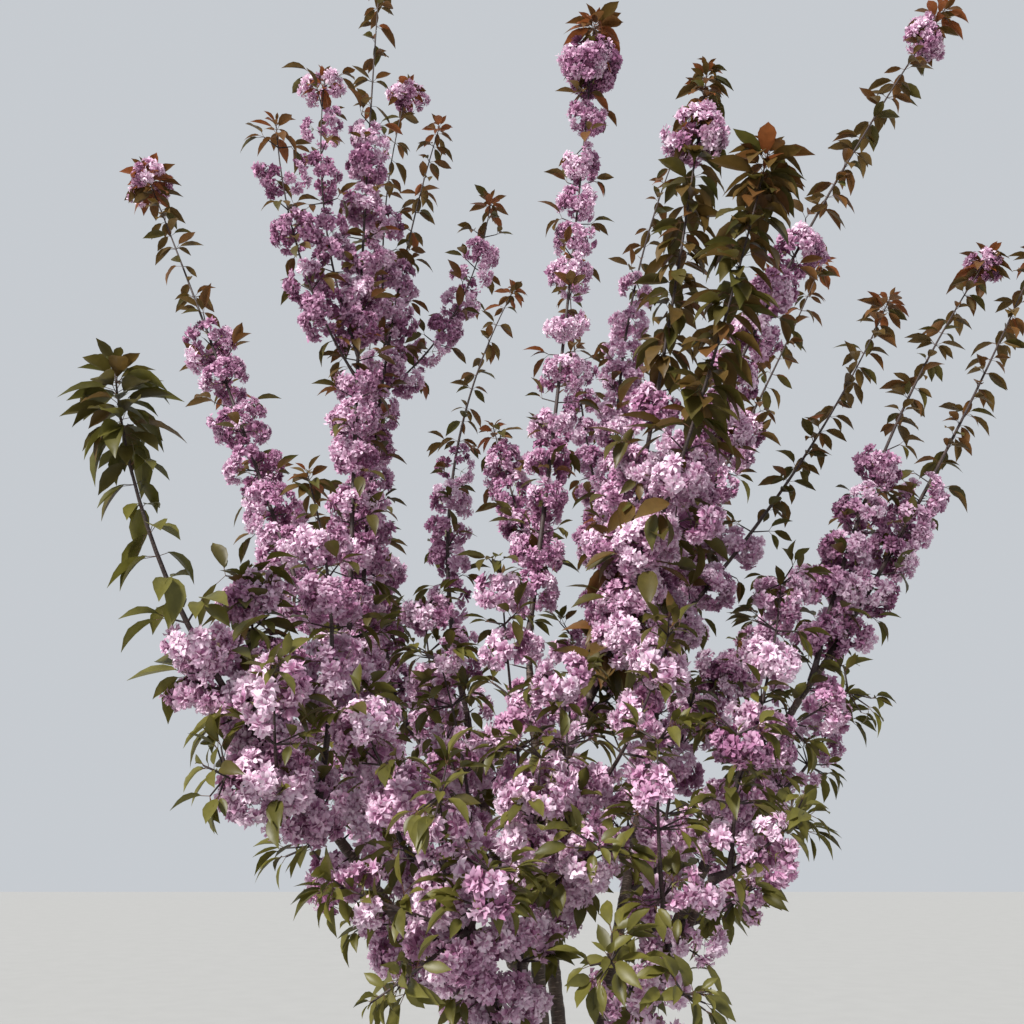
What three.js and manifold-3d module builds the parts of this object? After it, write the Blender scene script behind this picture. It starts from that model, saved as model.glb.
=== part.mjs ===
// A young ornamental cherry in full double pink blossom, in millimetres.
// The origin is the foot of the trunk on level ground, +X is right, +Y is back and +Z is up.
// Long upright wands rise from a few boughs in the shape of a vase. Each wand is sheathed in bunches
// of blossom low down, and ends in a leafy tip. Low sprays of blossom fill the crown between them.

import * as THREE from "three";
import { mergeVertices } from "three/addons/utils/BufferGeometryUtils.js";
import Module from "manifold-3d";

const wasm = await Module();
wasm.setup();

// Driving dimensions

const GAP = 0.3; // between a limb and what grows from it
const SEED = 2600;

const TRUNK = {
  height: 880,
  lean: [15, 10],
  topRadius: 54,
  waistRadius: 58,
  footRadius: 94,
  flareHeight: 105,
  rootLobes: 5,
  lobeShare: 0.13,
  sides: 15,
  steps: 8,
  ringCrowding: 1.6, // brings the rings closer together down in the flare
};

const BOUGH = { sides: 8, steps: 5, startRadius: 25, endRadius: 15 };
const STEM = { sides: 5, stepLength: 420, startRadius: 11, endRadius: 4, shootShare: 0.85 };

// Blossom sits in rings of flowers round the stem, one bunch after another
const BUNCH = {
  step: 140, // from one bunch to the next along the stem
  firstRun: 80, // bare stem below the first one
  radius: 86,
  waist: 0.5, // radius between two bunches, as a share of theirs
  taper: 0.8, // how far a bunch reaches along the stem, as a share of its radius
  joinedRun: 190, // bunches closer than this run into each other
  joinedShare: 0.45, // the least radius of two joined bunches, as a share of the run between them
  sizes: [0.8, 1.04],
  offset: 14, // of a bunch's middle from the stem
  roughness: 0.16,
  leafReach: 132,
  leafShare: 0.14, // of the bunches have a leaf that stands out of them
  leafTurn: 2, // from the bunch to its leaf
  sprayScale: 1.15, // a low spray's bunches are this much larger than a wand's
};

const LEAF = {
  step: 114, // along the leafy stretch of a stem
  lushGrowth: 0.22, // how much of its lushness goes into the size of a wand's leaves
  reach: 142,
  widthShare: 0.44,
  broadest: 0.4, // share of the length where the leaf is broadest
  fold: 8, // how far the sides stand above the midrib
  rises: [0.35, 0.95], // angle above square to the stem
  reaches: [0.85, 1.12],
  droop: 0.12,
  bareTip: 20, // no leaf or bunch starts this close to the stem's end
  margin: 5, // of the balls that cover a leaf
  ballShares: [0.3, 0.45, 0.62, 0.8, 0.95],
};

// The leaves at the end of a wand and its shoots, and at the end of a spray
const ROSETTE = {
  wandLeaves: 4,
  sprayLeaves: 1,
  reach: 142,
  reaches: [0.8, 1],
  rises: [0.1, 0.75], // from the lowest leaf to the last
  riseSpread: 0.3,
  stretch: 60, // of the stem that they stand on
  lead: 0.2, // how far the last stands below the tip, as a share of one step
  seedStep: 7,
};

const POMPOM = { below: 35, size: 0.78, seedStep: 9 }; // a last bunch just below a wand's tip
const STEP_SPREAD = 0.1; // how unevenly bunches and leaves follow each other
const TURN_SPREAD = 0.3; // how far each turns from the golden angle
const SEED_STEPS = { mass: 10, station: 1000 };
const LIMB_BALLS = { spacing: 1.2, size: 1.15 }; // the balls that cover a limb, in its radii
const CLEARANCE = 1.5; // kept between the blossom and leaves of neighbouring masses
const SLIVER = 0.05; // the finest detail that fusing leaves
const SHRINK = [1, 0.82, 0.66]; // sizes that are tried where a neighbour is close

const COLOUR = { bark: "#5d4a41", blossom: "#d995bb", leaves: "#6d6a35" };

// Boughs: each leaves the trunk or an older bough at a share of its length and ends at its tip.
// Its bow is how far its middle stands off the straight line between its ends.
const BOUGHS = [
  { name: "bough_centre", from: "trunk", at: 0.97, tip: [-90, 150, 2220], bow: [-10, -25, 0] },
  { name: "bough_right_centre", from: "trunk", at: 0.96, tip: [210, 0, 2250], bow: [-170, -100, 0] },
  { name: "bough_left_front", from: "trunk", at: 0.9, tip: [-690, -550, 1800], bow: [-20, -20, 60] },
  { name: "bough_left", from: "trunk", at: 0.91, tip: [-660, 50, 2020], bow: [-30, -50, 110] },
  { name: "bough_left_back", from: "trunk", at: 0.93, tip: [-340, 450, 2280], bow: [-30, 20, 40] },
  { name: "bough_right", from: "trunk", at: 0.9, tip: [850, 180, 2170], bow: [-40, -60, 60] },
  { name: "bough_right_back", from: "trunk", at: 0.92, tip: [400, 760, 2150], bow: [20, 0, 60] },
  { name: "bough_front", from: "trunk", at: 0.93, tip: [330, -430, 1530], bow: [10, -20, 30] },
  { name: "bough_front_left", from: "trunk", at: 0.88, tip: [-250, -520, 1400], bow: [-10, -20, 30] },
  { name: "bough_back", from: "bough_left_back", at: 0.3, tip: [-560, 820, 2080], bow: [10, 30, 60] },
];

// Masses: the stem of each leaves its bough at a share of the bough's length. Blossom sheathes it over
// the shares in bloom, and leaves cover the rest, larger and closer on a lush wand. Shoots leave the
// stem, and are sized the same way.
const MASSES = [
  {
    name: "wand_left_front",
    bough: "bough_left_front",
    at: 1,
    tip: [-1040, -900, 2640],
    bow: [-50, -50, -40],
    bloom: [0.05, 0.4],
    lush: 2.2,
    shoots: [{ at: 0.03, tip: [-810, -510, 2240], bow: [0, 20, 0], bloom: [0.1, 1] }],
  },
  {
    name: "wand_left_short",
    bough: "bough_left_front",
    at: 0.86,
    tip: [-690, -420, 2560],
    bow: [40, 60, 20],
    bloom: [0.25, 0.8],
  },
  {
    name: "wand_left_outer",
    bough: "bough_left",
    at: 1,
    tip: [-1620, 500, 4200],
    bow: [0, 20, 30],
    bloom: [0.04, 0.6],
    pompom: true,
  },
  {
    name: "wand_left_tall",
    bough: "bough_left",
    at: 0.93,
    tip: [-650, 120, 4810],
    bow: [-20, 10, 0],
    bloom: [0.1, 0.78],
    shoots: [
      { at: 0.42, tip: [-810, 0, 4220], bow: [-50, -20, -30], bloom: [0.15, 1] },
      { at: 0.39, tip: [-930, -150, 3910], bow: [-40, -30, -60], bloom: [0.2, 0.95] },
    ],
  },
  {
    name: "wand_left_rear",
    bough: "bough_left",
    at: 0.86,
    tip: [-440, 540, 4450],
    bow: [-90, 40, 0],
    bloom: [0.08, 0.72],
    shoots: [
      { at: 0.55, tip: [-550, 350, 4490], bow: [-50, -10, 0], bloom: [0.1, 0.55], pompom: true },
      { at: 0.48, tip: [-230, 760, 4240], bow: [60, 50, -60], bloom: [0.06, 0.9] },
    ],
  },
  {
    name: "wand_back_left",
    bough: "bough_back",
    at: 1,
    tip: [-800, 1400, 4150],
    bow: [-90, 60, 0],
    bloom: [0.05, 0.7],
  },
  {
    name: "wand_left_back",
    bough: "bough_left_back",
    at: 1,
    tip: [-130, 1080, 4000],
    bow: [-120, 40, 0],
    bloom: [0.04, 0.5],
  },
  {
    name: "wand_centre",
    bough: "bough_centre",
    at: 1,
    tip: [180, 180, 4620],
    bow: [10, 50, 0],
    bloom: [0.04, 0.99],
    shoots: [{ at: 0.1, tip: [-210, 520, 3090], bow: [10, 60, -40], bloom: [0.15, 1] }],
  },
  {
    name: "wand_right_back",
    bough: "bough_right_centre",
    at: 1,
    tip: [670, 880, 4760],
    bow: [-140, 120, -20],
    bloom: [0.05, 0.66],
  },
  {
    name: "wand_right_front_tall",
    bough: "bough_right_centre",
    at: 0.9,
    tip: [460, -450, 3880],
    bow: [0, -110, -50],
    bloom: [0.06, 0.45],
    pompom: true,
    lush: 2,
  },
  {
    name: "wand_right_front",
    bough: "bough_right_centre",
    at: 0.84,
    tip: [570, -620, 3440],
    bow: [10, -110, -70],
    bloom: [0.1, 0.45],
    lush: 2,
  },
  {
    name: "wand_right",
    bough: "bough_right_centre",
    at: 0.94,
    tip: [1450, 0, 4530],
    bow: [-60, 20, 30],
    bloom: [0.08, 0.62],
    pompom: true,
  },
  {
    name: "wand_right_inner",
    bough: "bough_right_centre",
    at: 0.82,
    tip: [1180, 800, 3970],
    bow: [20, 90, -40],
    bloom: [0.1, 0.58],
  },
  {
    name: "wand_right_low",
    bough: "bough_right_centre",
    at: 0.77,
    tip: [1340, 550, 3650],
    bow: [70, 50, -50],
    bloom: [0.12, 0.4],
  },
  {
    name: "wand_far_right_inner",
    bough: "bough_right",
    at: 0.93,
    tip: [1690, 420, 3760],
    bow: [-60, 30, 30],
    bloom: [0.06, 0.46],
    pompom: true,
  },
  {
    name: "wand_far_right",
    bough: "bough_right",
    at: 1,
    tip: [1930, 500, 3830],
    bow: [30, 60, -30],
    bloom: [0.04, 0.38],
  },
  {
    name: "wand_back_right",
    bough: "bough_right_back",
    at: 1,
    tip: [1140, 1450, 4300],
    bow: [-60, 60, 0],
    bloom: [0.05, 0.66],
  },
  {
    name: "wand_back_centre",
    bough: "bough_right_back",
    at: 0.9,
    tip: [140, 1440, 4380],
    bow: [-60, 60, 0],
    bloom: [0.05, 0.75],
  },
  {
    name: "wand_back_far_right",
    bough: "bough_right_back",
    at: 0.8,
    tip: [1400, 1050, 3050],
    bow: [0, 60, -60],
    bloom: [0.1, 0.75],
  },
  {
    name: "wand_back_far_left",
    bough: "bough_back",
    at: 0.85,
    tip: [-1380, 1050, 3520],
    bow: [-40, 40, -60],
    bloom: [0.08, 0.7],
  },
  {
    name: "spray_left_front_outer",
    bough: "bough_left_front",
    at: 0.84,
    tip: [-800, -750, 1770],
    bow: [0, -40, 0],
    bloom: [0, 1],
    shoots: [{ at: 0.35, tip: [-650, -790, 1950], bow: [0, -30, 0], bloom: [0.1, 1] }],
  },
  {
    name: "spray_left_front",
    bough: "bough_left_front",
    at: 0.3,
    tip: [-480, -680, 1880],
    bow: [60, -90, -60],
    bloom: [0.2, 1],
    shoots: [{ at: 0.5, tip: [-290, -800, 1720], bow: [0, 0, 0], bloom: [0.1, 1] }],
  },
  {
    name: "spray_left_low",
    bough: "bough_left",
    at: 0.28,
    tip: [-680, -270, 1640],
    bow: [0, 0, -60],
    bloom: [0.25, 1],
  },
  {
    name: "spray_front_left",
    bough: "bough_front_left",
    at: 1,
    tip: [-190, -740, 1560],
    bow: [10, -40, 0],
    bloom: [0, 1],
    shoots: [
      { at: 0.2, tip: [-430, -700, 1300], bow: [0, -20, 0], bloom: [0, 1] },
      { at: 0.15, tip: [-500, -660, 1520], bow: [0, -20, 0], bloom: [0.1, 1] },
    ],
  },
  {
    name: "spray_front_left_upper",
    bough: "bough_front_left",
    at: 0.55,
    tip: [-70, -480, 1810],
    bow: [0, -40, 0],
    bloom: [0.15, 1],
  },
  {
    name: "spray_left",
    bough: "bough_left",
    at: 0.42,
    tip: [-570, -230, 2150],
    bow: [-40, -90, -60],
    bloom: [0.15, 1],
    shoots: [{ at: 0.45, tip: [-790, -220, 1900], bow: [0, 0, -30], bloom: [0.15, 1] }],
  },
  {
    name: "spray_left_inner",
    bough: "bough_left",
    at: 0.35,
    tip: [-350, -60, 2120],
    bow: [40, -10, 0],
    bloom: [0.15, 1],
  },
  {
    name: "spray_left_rear",
    bough: "bough_left",
    at: 0.5,
    tip: [-700, 310, 1980],
    bow: [-40, 60, -60],
    bloom: [0.15, 1],
    shoots: [{ at: 0.4, tip: [-440, 400, 1800], bow: [0, 0, 0], bloom: [0.1, 1] }],
  },
  {
    name: "spray_left_back",
    bough: "bough_left_back",
    at: 0.42,
    tip: [-420, 230, 2340],
    bow: [-50, -20, 0],
    bloom: [0.15, 1],
  },
  {
    name: "spray_centre_front",
    bough: "bough_centre",
    at: 0.3,
    tip: [-170, -200, 2330],
    bow: [-20, -90, 0],
    bloom: [0.25, 1],
  },
  {
    name: "spray_centre_back",
    bough: "bough_centre",
    at: 0.4,
    tip: [60, 440, 2290],
    bow: [20, 60, 0],
    bloom: [0.15, 1],
    shoots: [{ at: 0.3, tip: [-130, 560, 1830], bow: [0, 20, 0], bloom: [0.2, 1] }],
  },
  {
    name: "spray_middle",
    bough: "bough_right_centre",
    at: 0.35,
    tip: [-10, -400, 2000],
    bow: [30, -100, -60],
    bloom: [0.2, 1],
    shoots: [{ at: 0.35, tip: [60, -560, 1610], bow: [0, -20, 0], bloom: [0.15, 1] }],
  },
  {
    name: "spray_right_centre",
    bough: "bough_right_centre",
    at: 0.55,
    tip: [260, -450, 2130],
    bow: [20, -70, -60],
    bloom: [0.15, 1],
  },
  {
    name: "spray_front_low",
    bough: "bough_front",
    at: 0.5,
    tip: [60, -660, 1390],
    bow: [0, -40, 0],
    bloom: [0.2, 1],
    shoots: [{ at: 0.35, tip: [260, -680, 1320], bow: [0, 0, 0], bloom: [0.2, 1] }],
  },
  {
    name: "spray_front",
    bough: "bough_front",
    at: 0.7,
    tip: [200, -560, 1840],
    bow: [-20, -60, -30],
    bloom: [0.15, 1],
  },
  {
    name: "spray_front_right",
    bough: "bough_front",
    at: 1,
    tip: [520, -520, 1680],
    bow: [0, -20, -20],
    bloom: [0, 1],
    shoots: [{ at: 0.2, tip: [400, -500, 1860], bow: [0, -20, 0], bloom: [0.1, 1] }],
  },
  {
    name: "spray_right_low",
    bough: "bough_right",
    at: 0.4,
    tip: [600, -200, 1720],
    bow: [30, -40, -60],
    bloom: [0.15, 1],
    shoots: [{ at: 0.4, tip: [430, -220, 1480], bow: [0, 0, 0], bloom: [0.2, 1] }],
  },
  {
    name: "spray_right",
    bough: "bough_right",
    at: 0.5,
    tip: [640, -110, 2330],
    bow: [20, -100, 0],
    bloom: [0.15, 1],
    shoots: [{ at: 0.4, tip: [810, -90, 2020], bow: [0, 0, 0], bloom: [0.1, 1] }],
  },
  {
    name: "spray_right_inner",
    bough: "bough_right",
    at: 0.3,
    tip: [430, 170, 2080],
    bow: [-20, 60, 0],
    bloom: [0.15, 1],
  },
  {
    name: "spray_right_outer",
    bough: "bough_right",
    at: 0.6,
    tip: [930, 340, 2060],
    bow: [30, 40, -60],
    bloom: [0.15, 1],
    shoots: [{ at: 0.4, tip: [640, 420, 1840], bow: [0, 0, 0], bloom: [0.15, 1] }],
  },
  {
    name: "spray_back_right",
    bough: "bough_right_back",
    at: 0.45,
    tip: [660, 790, 1840],
    bow: [0, 0, -40],
    bloom: [0.15, 1],
    shoots: [{ at: 0.25, tip: [180, 780, 1740], bow: [0, 20, 0], bloom: [0.15, 1] }],
  },
  {
    name: "spray_back_left",
    bough: "bough_back",
    at: 0.45,
    tip: [-260, 960, 1960],
    bow: [0, 20, -30],
    bloom: [0.15, 1],
    shoots: [{ at: 0.3, tip: [-640, 860, 1680], bow: [0, 0, 0], bloom: [0.15, 1] }],
  },
];

// Chance and small sums

const GOLDEN_ANGLE = Math.PI * (3 - Math.sqrt(5));

function seededRandom(seed) {
  let state = seed >>> 0;
  return () => {
    state = (state + 0x6d2b79f5) >>> 0;
    let mixed = state;
    mixed = Math.imul(mixed ^ (mixed >>> 15), mixed | 1);
    mixed ^= mixed + Math.imul(mixed ^ (mixed >>> 7), mixed | 61);
    return ((mixed ^ (mixed >>> 14)) >>> 0) / 4294967296;
  };
}

const mix = (low, high, share) => low + (high - low) * share;

// Solids

function toSolid(geometry) {
  const bare = geometry.clone();
  bare.deleteAttribute("normal");
  bare.deleteAttribute("uv");
  const merged = mergeVertices(bare);
  const mesh = new wasm.Mesh({
    numProp: 3,
    vertProperties: merged.attributes.position.array,
    triVerts: new Uint32Array(merged.index.array),
  });
  return new wasm.Manifold(mesh);
}

// The largest outer shell: loose scraps are dropped, and sealed hollows are filled.
function largestBody(solid) {
  const bodies = solid.decompose();
  return bodies.reduce((best, body) => (body.volume() > best.volume() ? body : best));
}

function toMesh(name, solid, colour) {
  const { numProp, vertProperties, triVerts } = solid.getMesh();
  const corners = new Float32Array((vertProperties.length / numProp) * 3);
  for (let i = 0; i < corners.length / 3; i++) {
    corners.set(vertProperties.subarray(i * numProp, i * numProp + 3), i * 3);
  }
  const geometry = new THREE.BufferGeometry();
  geometry.setAttribute("position", new THREE.BufferAttribute(corners, 3));
  geometry.setIndex(new THREE.BufferAttribute(new Uint32Array(triVerts), 1));
  geometry.computeVertexNormals();
  const material = new THREE.MeshStandardMaterial({ color: colour, roughness: 0.85, metalness: 0 });
  const mesh = new THREE.Mesh(geometry, material);
  mesh.name = name;
  return mesh;
}

// Moves each corner of a geometry to the place that a rule gives for it.
function reshape(geometry, rule) {
  const position = geometry.attributes.position;
  const corner = new THREE.Vector3();
  for (let i = 0; i < position.count; i++) {
    corner.fromBufferAttribute(position, i);
    rule(corner);
    position.setXYZ(i, corner.x, corner.y, corner.z);
  }
  return geometry;
}

// A closed tube through rings, each with a centre, two directions square to the tube, and a radius
// for every side.
function tubeThrough(rings, sides) {
  const tube = new THREE.CylinderGeometry(1, 1, 1, sides, rings.length - 1);
  reshape(tube, (corner) => {
    const { centre, across, out, radii } = rings[Math.round((corner.y + 0.5) * (rings.length - 1))];
    const turn = Math.atan2(corner.x, corner.z) / (2 * Math.PI);
    const radius = radii[Math.round((turn + 1) * sides) % sides];
    const place = centre
      .clone()
      .addScaledVector(across, corner.z * radius)
      .addScaledVector(out, corner.x * radius);
    corner.copy(place);
  });
  return toSolid(tube);
}

// Limbs

class Limb {
  constructor({ name, start, tip, bow, startRadius, endRadius, sides, steps }) {
    Object.assign(this, { name, startRadius, endRadius, sides, steps });
    this.start = start.clone();
    this.tip = new THREE.Vector3(...tip);
    this.bow = new THREE.Vector3(...bow);
    const chord = this.start.distanceTo(this.tip);
    this.length = chord * (1 + (8 / 3) * (this.bow.length() / chord) ** 2);
    const lean = new THREE.Vector3().subVectors(this.tip, this.start);
    this.side = new THREE.Vector3(-lean.y, lean.x, 0).normalize();
  }

  point(share) {
    return this.start
      .clone()
      .lerp(this.tip, share)
      .addScaledVector(this.bow, 4 * share * (1 - share));
  }

  direction(share) {
    return new THREE.Vector3()
      .subVectors(this.tip, this.start)
      .addScaledVector(this.bow, 4 - 8 * share)
      .normalize();
  }

  // Two directions square to the limb, and the limb's own direction.
  frame(share) {
    const along = this.direction(share);
    const across = this.side.clone().addScaledVector(along, -this.side.dot(along)).normalize();
    const out = new THREE.Vector3().crossVectors(along, across);
    return { along, across, out };
  }

  radius(share) {
    return mix(this.startRadius, this.endRadius, share);
  }

  ring(share, radius, shift = 0) {
    const { along, across, out } = this.frame(share);
    const centre = this.point(share).addScaledVector(along, shift);
    return { centre, across, out, radii: Array(this.sides).fill(radius) };
  }

  solid(grow = 0) {
    const rings = [];
    for (let i = 0; i <= this.steps; i++) {
      const share = i / this.steps;
      rings.push(this.ring(share, this.radius(share) + grow, 2 * grow * (share - 0.5)));
    }
    return tubeThrough(rings, this.sides);
  }
}

class Trunk {
  constructor(size) {
    Object.assign(this, size);
  }

  point(share) {
    const [leanX, leanY] = this.lean;
    return new THREE.Vector3(leanX * share ** 2, leanY * share ** 2, this.height * share);
  }

  radius(share, angle = 0) {
    const flare = Math.exp((-share * this.height) / this.flareHeight);
    const lobes = 1 + this.lobeShare * Math.cos(this.rootLobes * angle) * flare;
    const taper = mix(this.waistRadius, this.topRadius, share);
    return (taper + (this.footRadius - this.waistRadius) * flare) * lobes;
  }

  solid(grow = 0) {
    const across = new THREE.Vector3(1, 0, 0);
    const out = new THREE.Vector3(0, 1, 0);
    const rings = [];
    for (let i = 0; i <= this.steps; i++) {
      const share = (i / this.steps) ** this.ringCrowding;
      const centre = this.point(share);
      centre.z += i === this.steps ? grow : 0;
      const radii = [];
      for (let side = 0; side < this.sides; side++) {
        radii.push(this.radius(share, (2 * Math.PI * side) / this.sides) + grow);
      }
      rings.push({ centre, across, out, radii });
    }
    return tubeThrough(rings, this.sides);
  }
}

const trunk = new Trunk(TRUNK);
const limbs = new Map([["trunk", trunk]]);

for (const row of BOUGHS) {
  const parent = limbs.get(row.from);
  limbs.set(row.name, new Limb({ ...BOUGH, ...row, start: parent.point(row.at) }));
}

function stemOf(row, start, startRadius) {
  return new Limb({ ...STEM, ...row, start, startRadius });
}

// Each mass with its main stem and its shoots, every one with its own seed.
const masses = MASSES.map((row, place) => {
  const isSpray = row.name.startsWith("spray");
  const bunchScale = isSpray ? BUNCH.sprayScale : 1;
  const lush = row.lush ?? 1;
  const seed = SEED + SEED_STEPS.mass * place;
  const main = stemOf(row, limbs.get(row.bough).point(row.at), STEM.startRadius);
  const tipLeaves = isSpray ? ROSETTE.sprayLeaves : ROSETTE.wandLeaves;
  const stems = [{ limb: main, row, seed, bunchScale, lush, tipLeaves }];
  (row.shoots ?? []).forEach((shoot, turn) => {
    const limb = stemOf(shoot, main.point(shoot.at), STEM.shootShare * main.radius(shoot.at));
    const shootLeaves = isSpray ? 0 : ROSETTE.wandLeaves;
    stems.push({ limb, row: shoot, seed: seed + turn + 1, bunchScale, lush, tipLeaves: shootLeaves });
  });
  return { name: row.name, stems };
});

// Room: balls that cover what is already there, each with the name of its owner

const taken = [];

function takeLimb(owner, limb, length) {
  const balls = Math.ceil(length / (LIMB_BALLS.spacing * limb.radius(0.5)));
  for (let i = 0; i <= balls; i++) {
    const share = i / balls;
    taken.push({ owner, centre: limb.point(share), radius: limb.radius(share) * LIMB_BALLS.size });
  }
}

// What grows on a stem may touch its own mass's stems and what grows on the same stem, nothing else.
function isFree(owner, stem, balls) {
  return balls.every(({ centre, radius }) =>
    taken.every((other) => {
      const isOwn = other.owner === owner && (!other.stem || other.stem === stem);
      return isOwn || other.centre.distanceTo(centre) > other.radius + radius + CLEARANCE;
    }),
  );
}

// A stem with its blossom: a tube that swells to a rough ring at each bunch and narrows between them

function bunchBall(stem, station, scale) {
  const { across, out } = stem.frame(station.share);
  const centre = stem
    .point(station.share)
    .addScaledVector(across, BUNCH.offset * Math.cos(station.turn))
    .addScaledVector(out, BUNCH.offset * Math.sin(station.turn));
  return { centre, radius: BUNCH.radius * station.size * scale };
}

function bunchRing(stem, { station, ball }) {
  const draw = seededRandom(station.seed);
  const ring = stem.ring(station.share, ball.radius);
  ring.centre = ball.centre;
  ring.radii = ring.radii.map((radius) => radius * (1 - BUNCH.roughness * draw()));
  return ring;
}

// Whether the blossom runs on from one bunch to the next without bare stem between them.
function joins(stem, before, after) {
  if (!before || !after) {
    return false;
  }
  const run = (after.station.share - before.station.share) * stem.length;
  const leastRadius = Math.min(before.ball.radius, after.ball.radius);
  return run < BUNCH.joinedRun && leastRadius > BUNCH.joinedShare * run;
}

function flowerySolid(stem, bunches) {
  const bare = (share) => stem.ring(share, stem.radius(share));
  const rings = [bare(0)];
  let last = 0; // share of the stem that the rings have reached
  const bareUpTo = (share) => {
    const steps = Math.ceil(((share - last) * stem.length) / STEM.stepLength);
    for (let i = 1; i <= steps; i++) {
      rings.push(bare(mix(last, share, i / steps)));
    }
    last = share;
  };
  bunches.forEach((bunch, place) => {
    const { share } = bunch.station;
    const reach = (BUNCH.taper * bunch.ball.radius) / stem.length;
    const before = bunches[place - 1];
    if (joins(stem, before, bunch)) {
      const waist = BUNCH.waist * Math.min(before.ball.radius, bunch.ball.radius);
      rings.push(stem.ring((before.station.share + share) / 2, waist));
    } else {
      bareUpTo(share - reach);
    }
    rings.push(bunchRing(stem, bunch));
    if (!joins(stem, bunch, bunches[place + 1])) {
      last = Math.min(share + reach, 1);
      rings.push(bare(last));
    }
  });
  if (last < 1) {
    bareUpTo(1);
  }
  return tubeThrough(rings, stem.sides);
}

// A leaf: a thin blade, pointed at both ends, whose sides stand a little above its midrib

function leafPlace(stem, share, turn, rise, reach) {
  const { along, across, out } = stem.frame(share);
  const sideways = across.clone().multiplyScalar(Math.cos(turn)).addScaledVector(out, Math.sin(turn));
  const ahead = sideways.multiplyScalar(Math.cos(rise)).addScaledVector(along, Math.sin(rise));
  ahead.z -= LEAF.droop;
  ahead.normalize();
  const root = stem.point(share);
  const edge = new THREE.Vector3().crossVectors(along, ahead).normalize();
  const face = new THREE.Vector3().crossVectors(ahead, edge);
  return { root, ahead, edge, face, length: reach };
}

function leafBalls({ root, ahead, length }) {
  return LEAF.ballShares.map((share) => {
    const width = share < LEAF.broadest ? share / LEAF.broadest : (1 - share) / (1 - LEAF.broadest);
    return {
      centre: root.clone().addScaledVector(ahead, share * length),
      radius: 0.5 * LEAF.widthShare * length * width + LEAF.margin,
    };
  });
}

function leafSolid({ root, ahead, edge, face, length }) {
  const blade = new THREE.TetrahedronGeometry(1, 0);
  const halfWidth = 0.5 * LEAF.widthShare * length;
  reshape(blade, (corner) => {
    const isEnd = corner.x * corner.y > 0;
    const isFirst = corner.x > 0;
    const run = isEnd ? (isFirst ? length : 0) : LEAF.broadest * length;
    const side = isEnd ? 0 : (isFirst ? halfWidth : -halfWidth);
    corner
      .copy(root)
      .addScaledVector(ahead, run)
      .addScaledVector(edge, side)
      .addScaledVector(face, isEnd ? 0 : LEAF.fold);
  });
  return toSolid(blade);
}

// The growing rule: stations follow each other up a stem, each turned by the golden angle

function stationsOf({ limb, row, seed, bunchScale, lush }) {
  const draw = seededRandom(seed);
  const lushReach = lush ** LEAF.lushGrowth;
  const [bloomFrom, bloomTo] = row.bloom;
  const stations = [];
  let run = BUNCH.firstRun;
  let turn = 2 * Math.PI * draw();
  while (run < limb.length - LEAF.bareTip) {
    const share = run / limb.length;
    const inBloom = share >= bloomFrom && share <= bloomTo;
    stations.push({
      share,
      turn,
      inBloom,
      size: bunchScale * mix(...BUNCH.sizes, draw()),
      rise: mix(...LEAF.rises, draw()),
      reach: (inBloom ? bunchScale : lushReach) * mix(...LEAF.reaches, draw()),
      leafChance: draw(),
      seed: seed * SEED_STEPS.station + stations.length,
    });
    const step = inBloom ? BUNCH.step * bunchScale : LEAF.step / lush;
    run += step * (1 + STEP_SPREAD * mix(-1, 1, draw()));
    turn += GOLDEN_ANGLE + TURN_SPREAD * mix(-1, 1, draw());
  }
  return stations;
}

function growBunch(mass, stem, station) {
  for (const scale of SHRINK) {
    const ball = bunchBall(stem, station, scale);
    if (isFree(mass.name, stem, [ball])) {
      taken.push({ owner: mass.name, stem, ...ball });
      return [{ station, ball }];
    }
  }
  return [];
}

function growLeaf(mass, stem, share, turn, rise, reach) {
  const place = leafPlace(stem, share, turn, rise, reach);
  const balls = leafBalls(place);
  if (isFree(mass.name, stem, balls)) {
    taken.push(...balls.map((ball) => ({ owner: mass.name, stem, ...ball })));
    mass.solids.push(leafSolid(place));
  }
}

function growStem(mass, stem) {
  const { limb, row, seed, lush, tipLeaves } = stem;
  const stations = stationsOf(stem);
  if (row.pompom) {
    const share = 1 - POMPOM.below / limb.length;
    stations.push({ share, turn: 0, inBloom: true, size: POMPOM.size, seed: seed + POMPOM.seedStep });
  }
  const bunches = stations.filter((each) => each.inBloom).flatMap((each) => growBunch(mass, limb, each));
  mass.solids.push(flowerySolid(limb, bunches));
  for (const { share, turn, rise, reach, inBloom, leafChance } of stations) {
    if (!inBloom) {
      growLeaf(mass, limb, share, turn, rise, LEAF.reach * reach);
    } else if (leafChance < BUNCH.leafShare) {
      growLeaf(mass, limb, share, turn + BUNCH.leafTurn, rise, BUNCH.leafReach * reach);
    }
  }
  const draw = seededRandom(seed + ROSETTE.seedStep);
  const rosetteReach = ROSETTE.reach * lush ** LEAF.lushGrowth;
  for (let i = 0; i < tipLeaves; i++) {
    const turn = i * GOLDEN_ANGLE + draw();
    const rise = mix(...ROSETTE.rises, i / tipLeaves) + ROSETTE.riseSpread * draw();
    const share = 1 - (ROSETTE.stretch * (i + ROSETTE.lead)) / (tipLeaves * limb.length);
    growLeaf(mass, limb, share, turn, rise, rosetteReach * mix(...ROSETTE.reaches, draw()));
  }
}

// Building

const tree = new THREE.Group();
const solidLimbs = new Map();

tree.add(toMesh("trunk", trunk.solid(), COLOUR.bark));
solidLimbs.set("trunk", { cut: trunk.solid(GAP), box: trunk.solid(GAP).boundingBox() });
takeLimb("trunk", trunk, TRUNK.height);

function boxesMeet(a, b) {
  return [0, 1, 2].every((i) => a.min[i] <= b.max[i] && b.min[i] <= a.max[i]);
}

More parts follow.
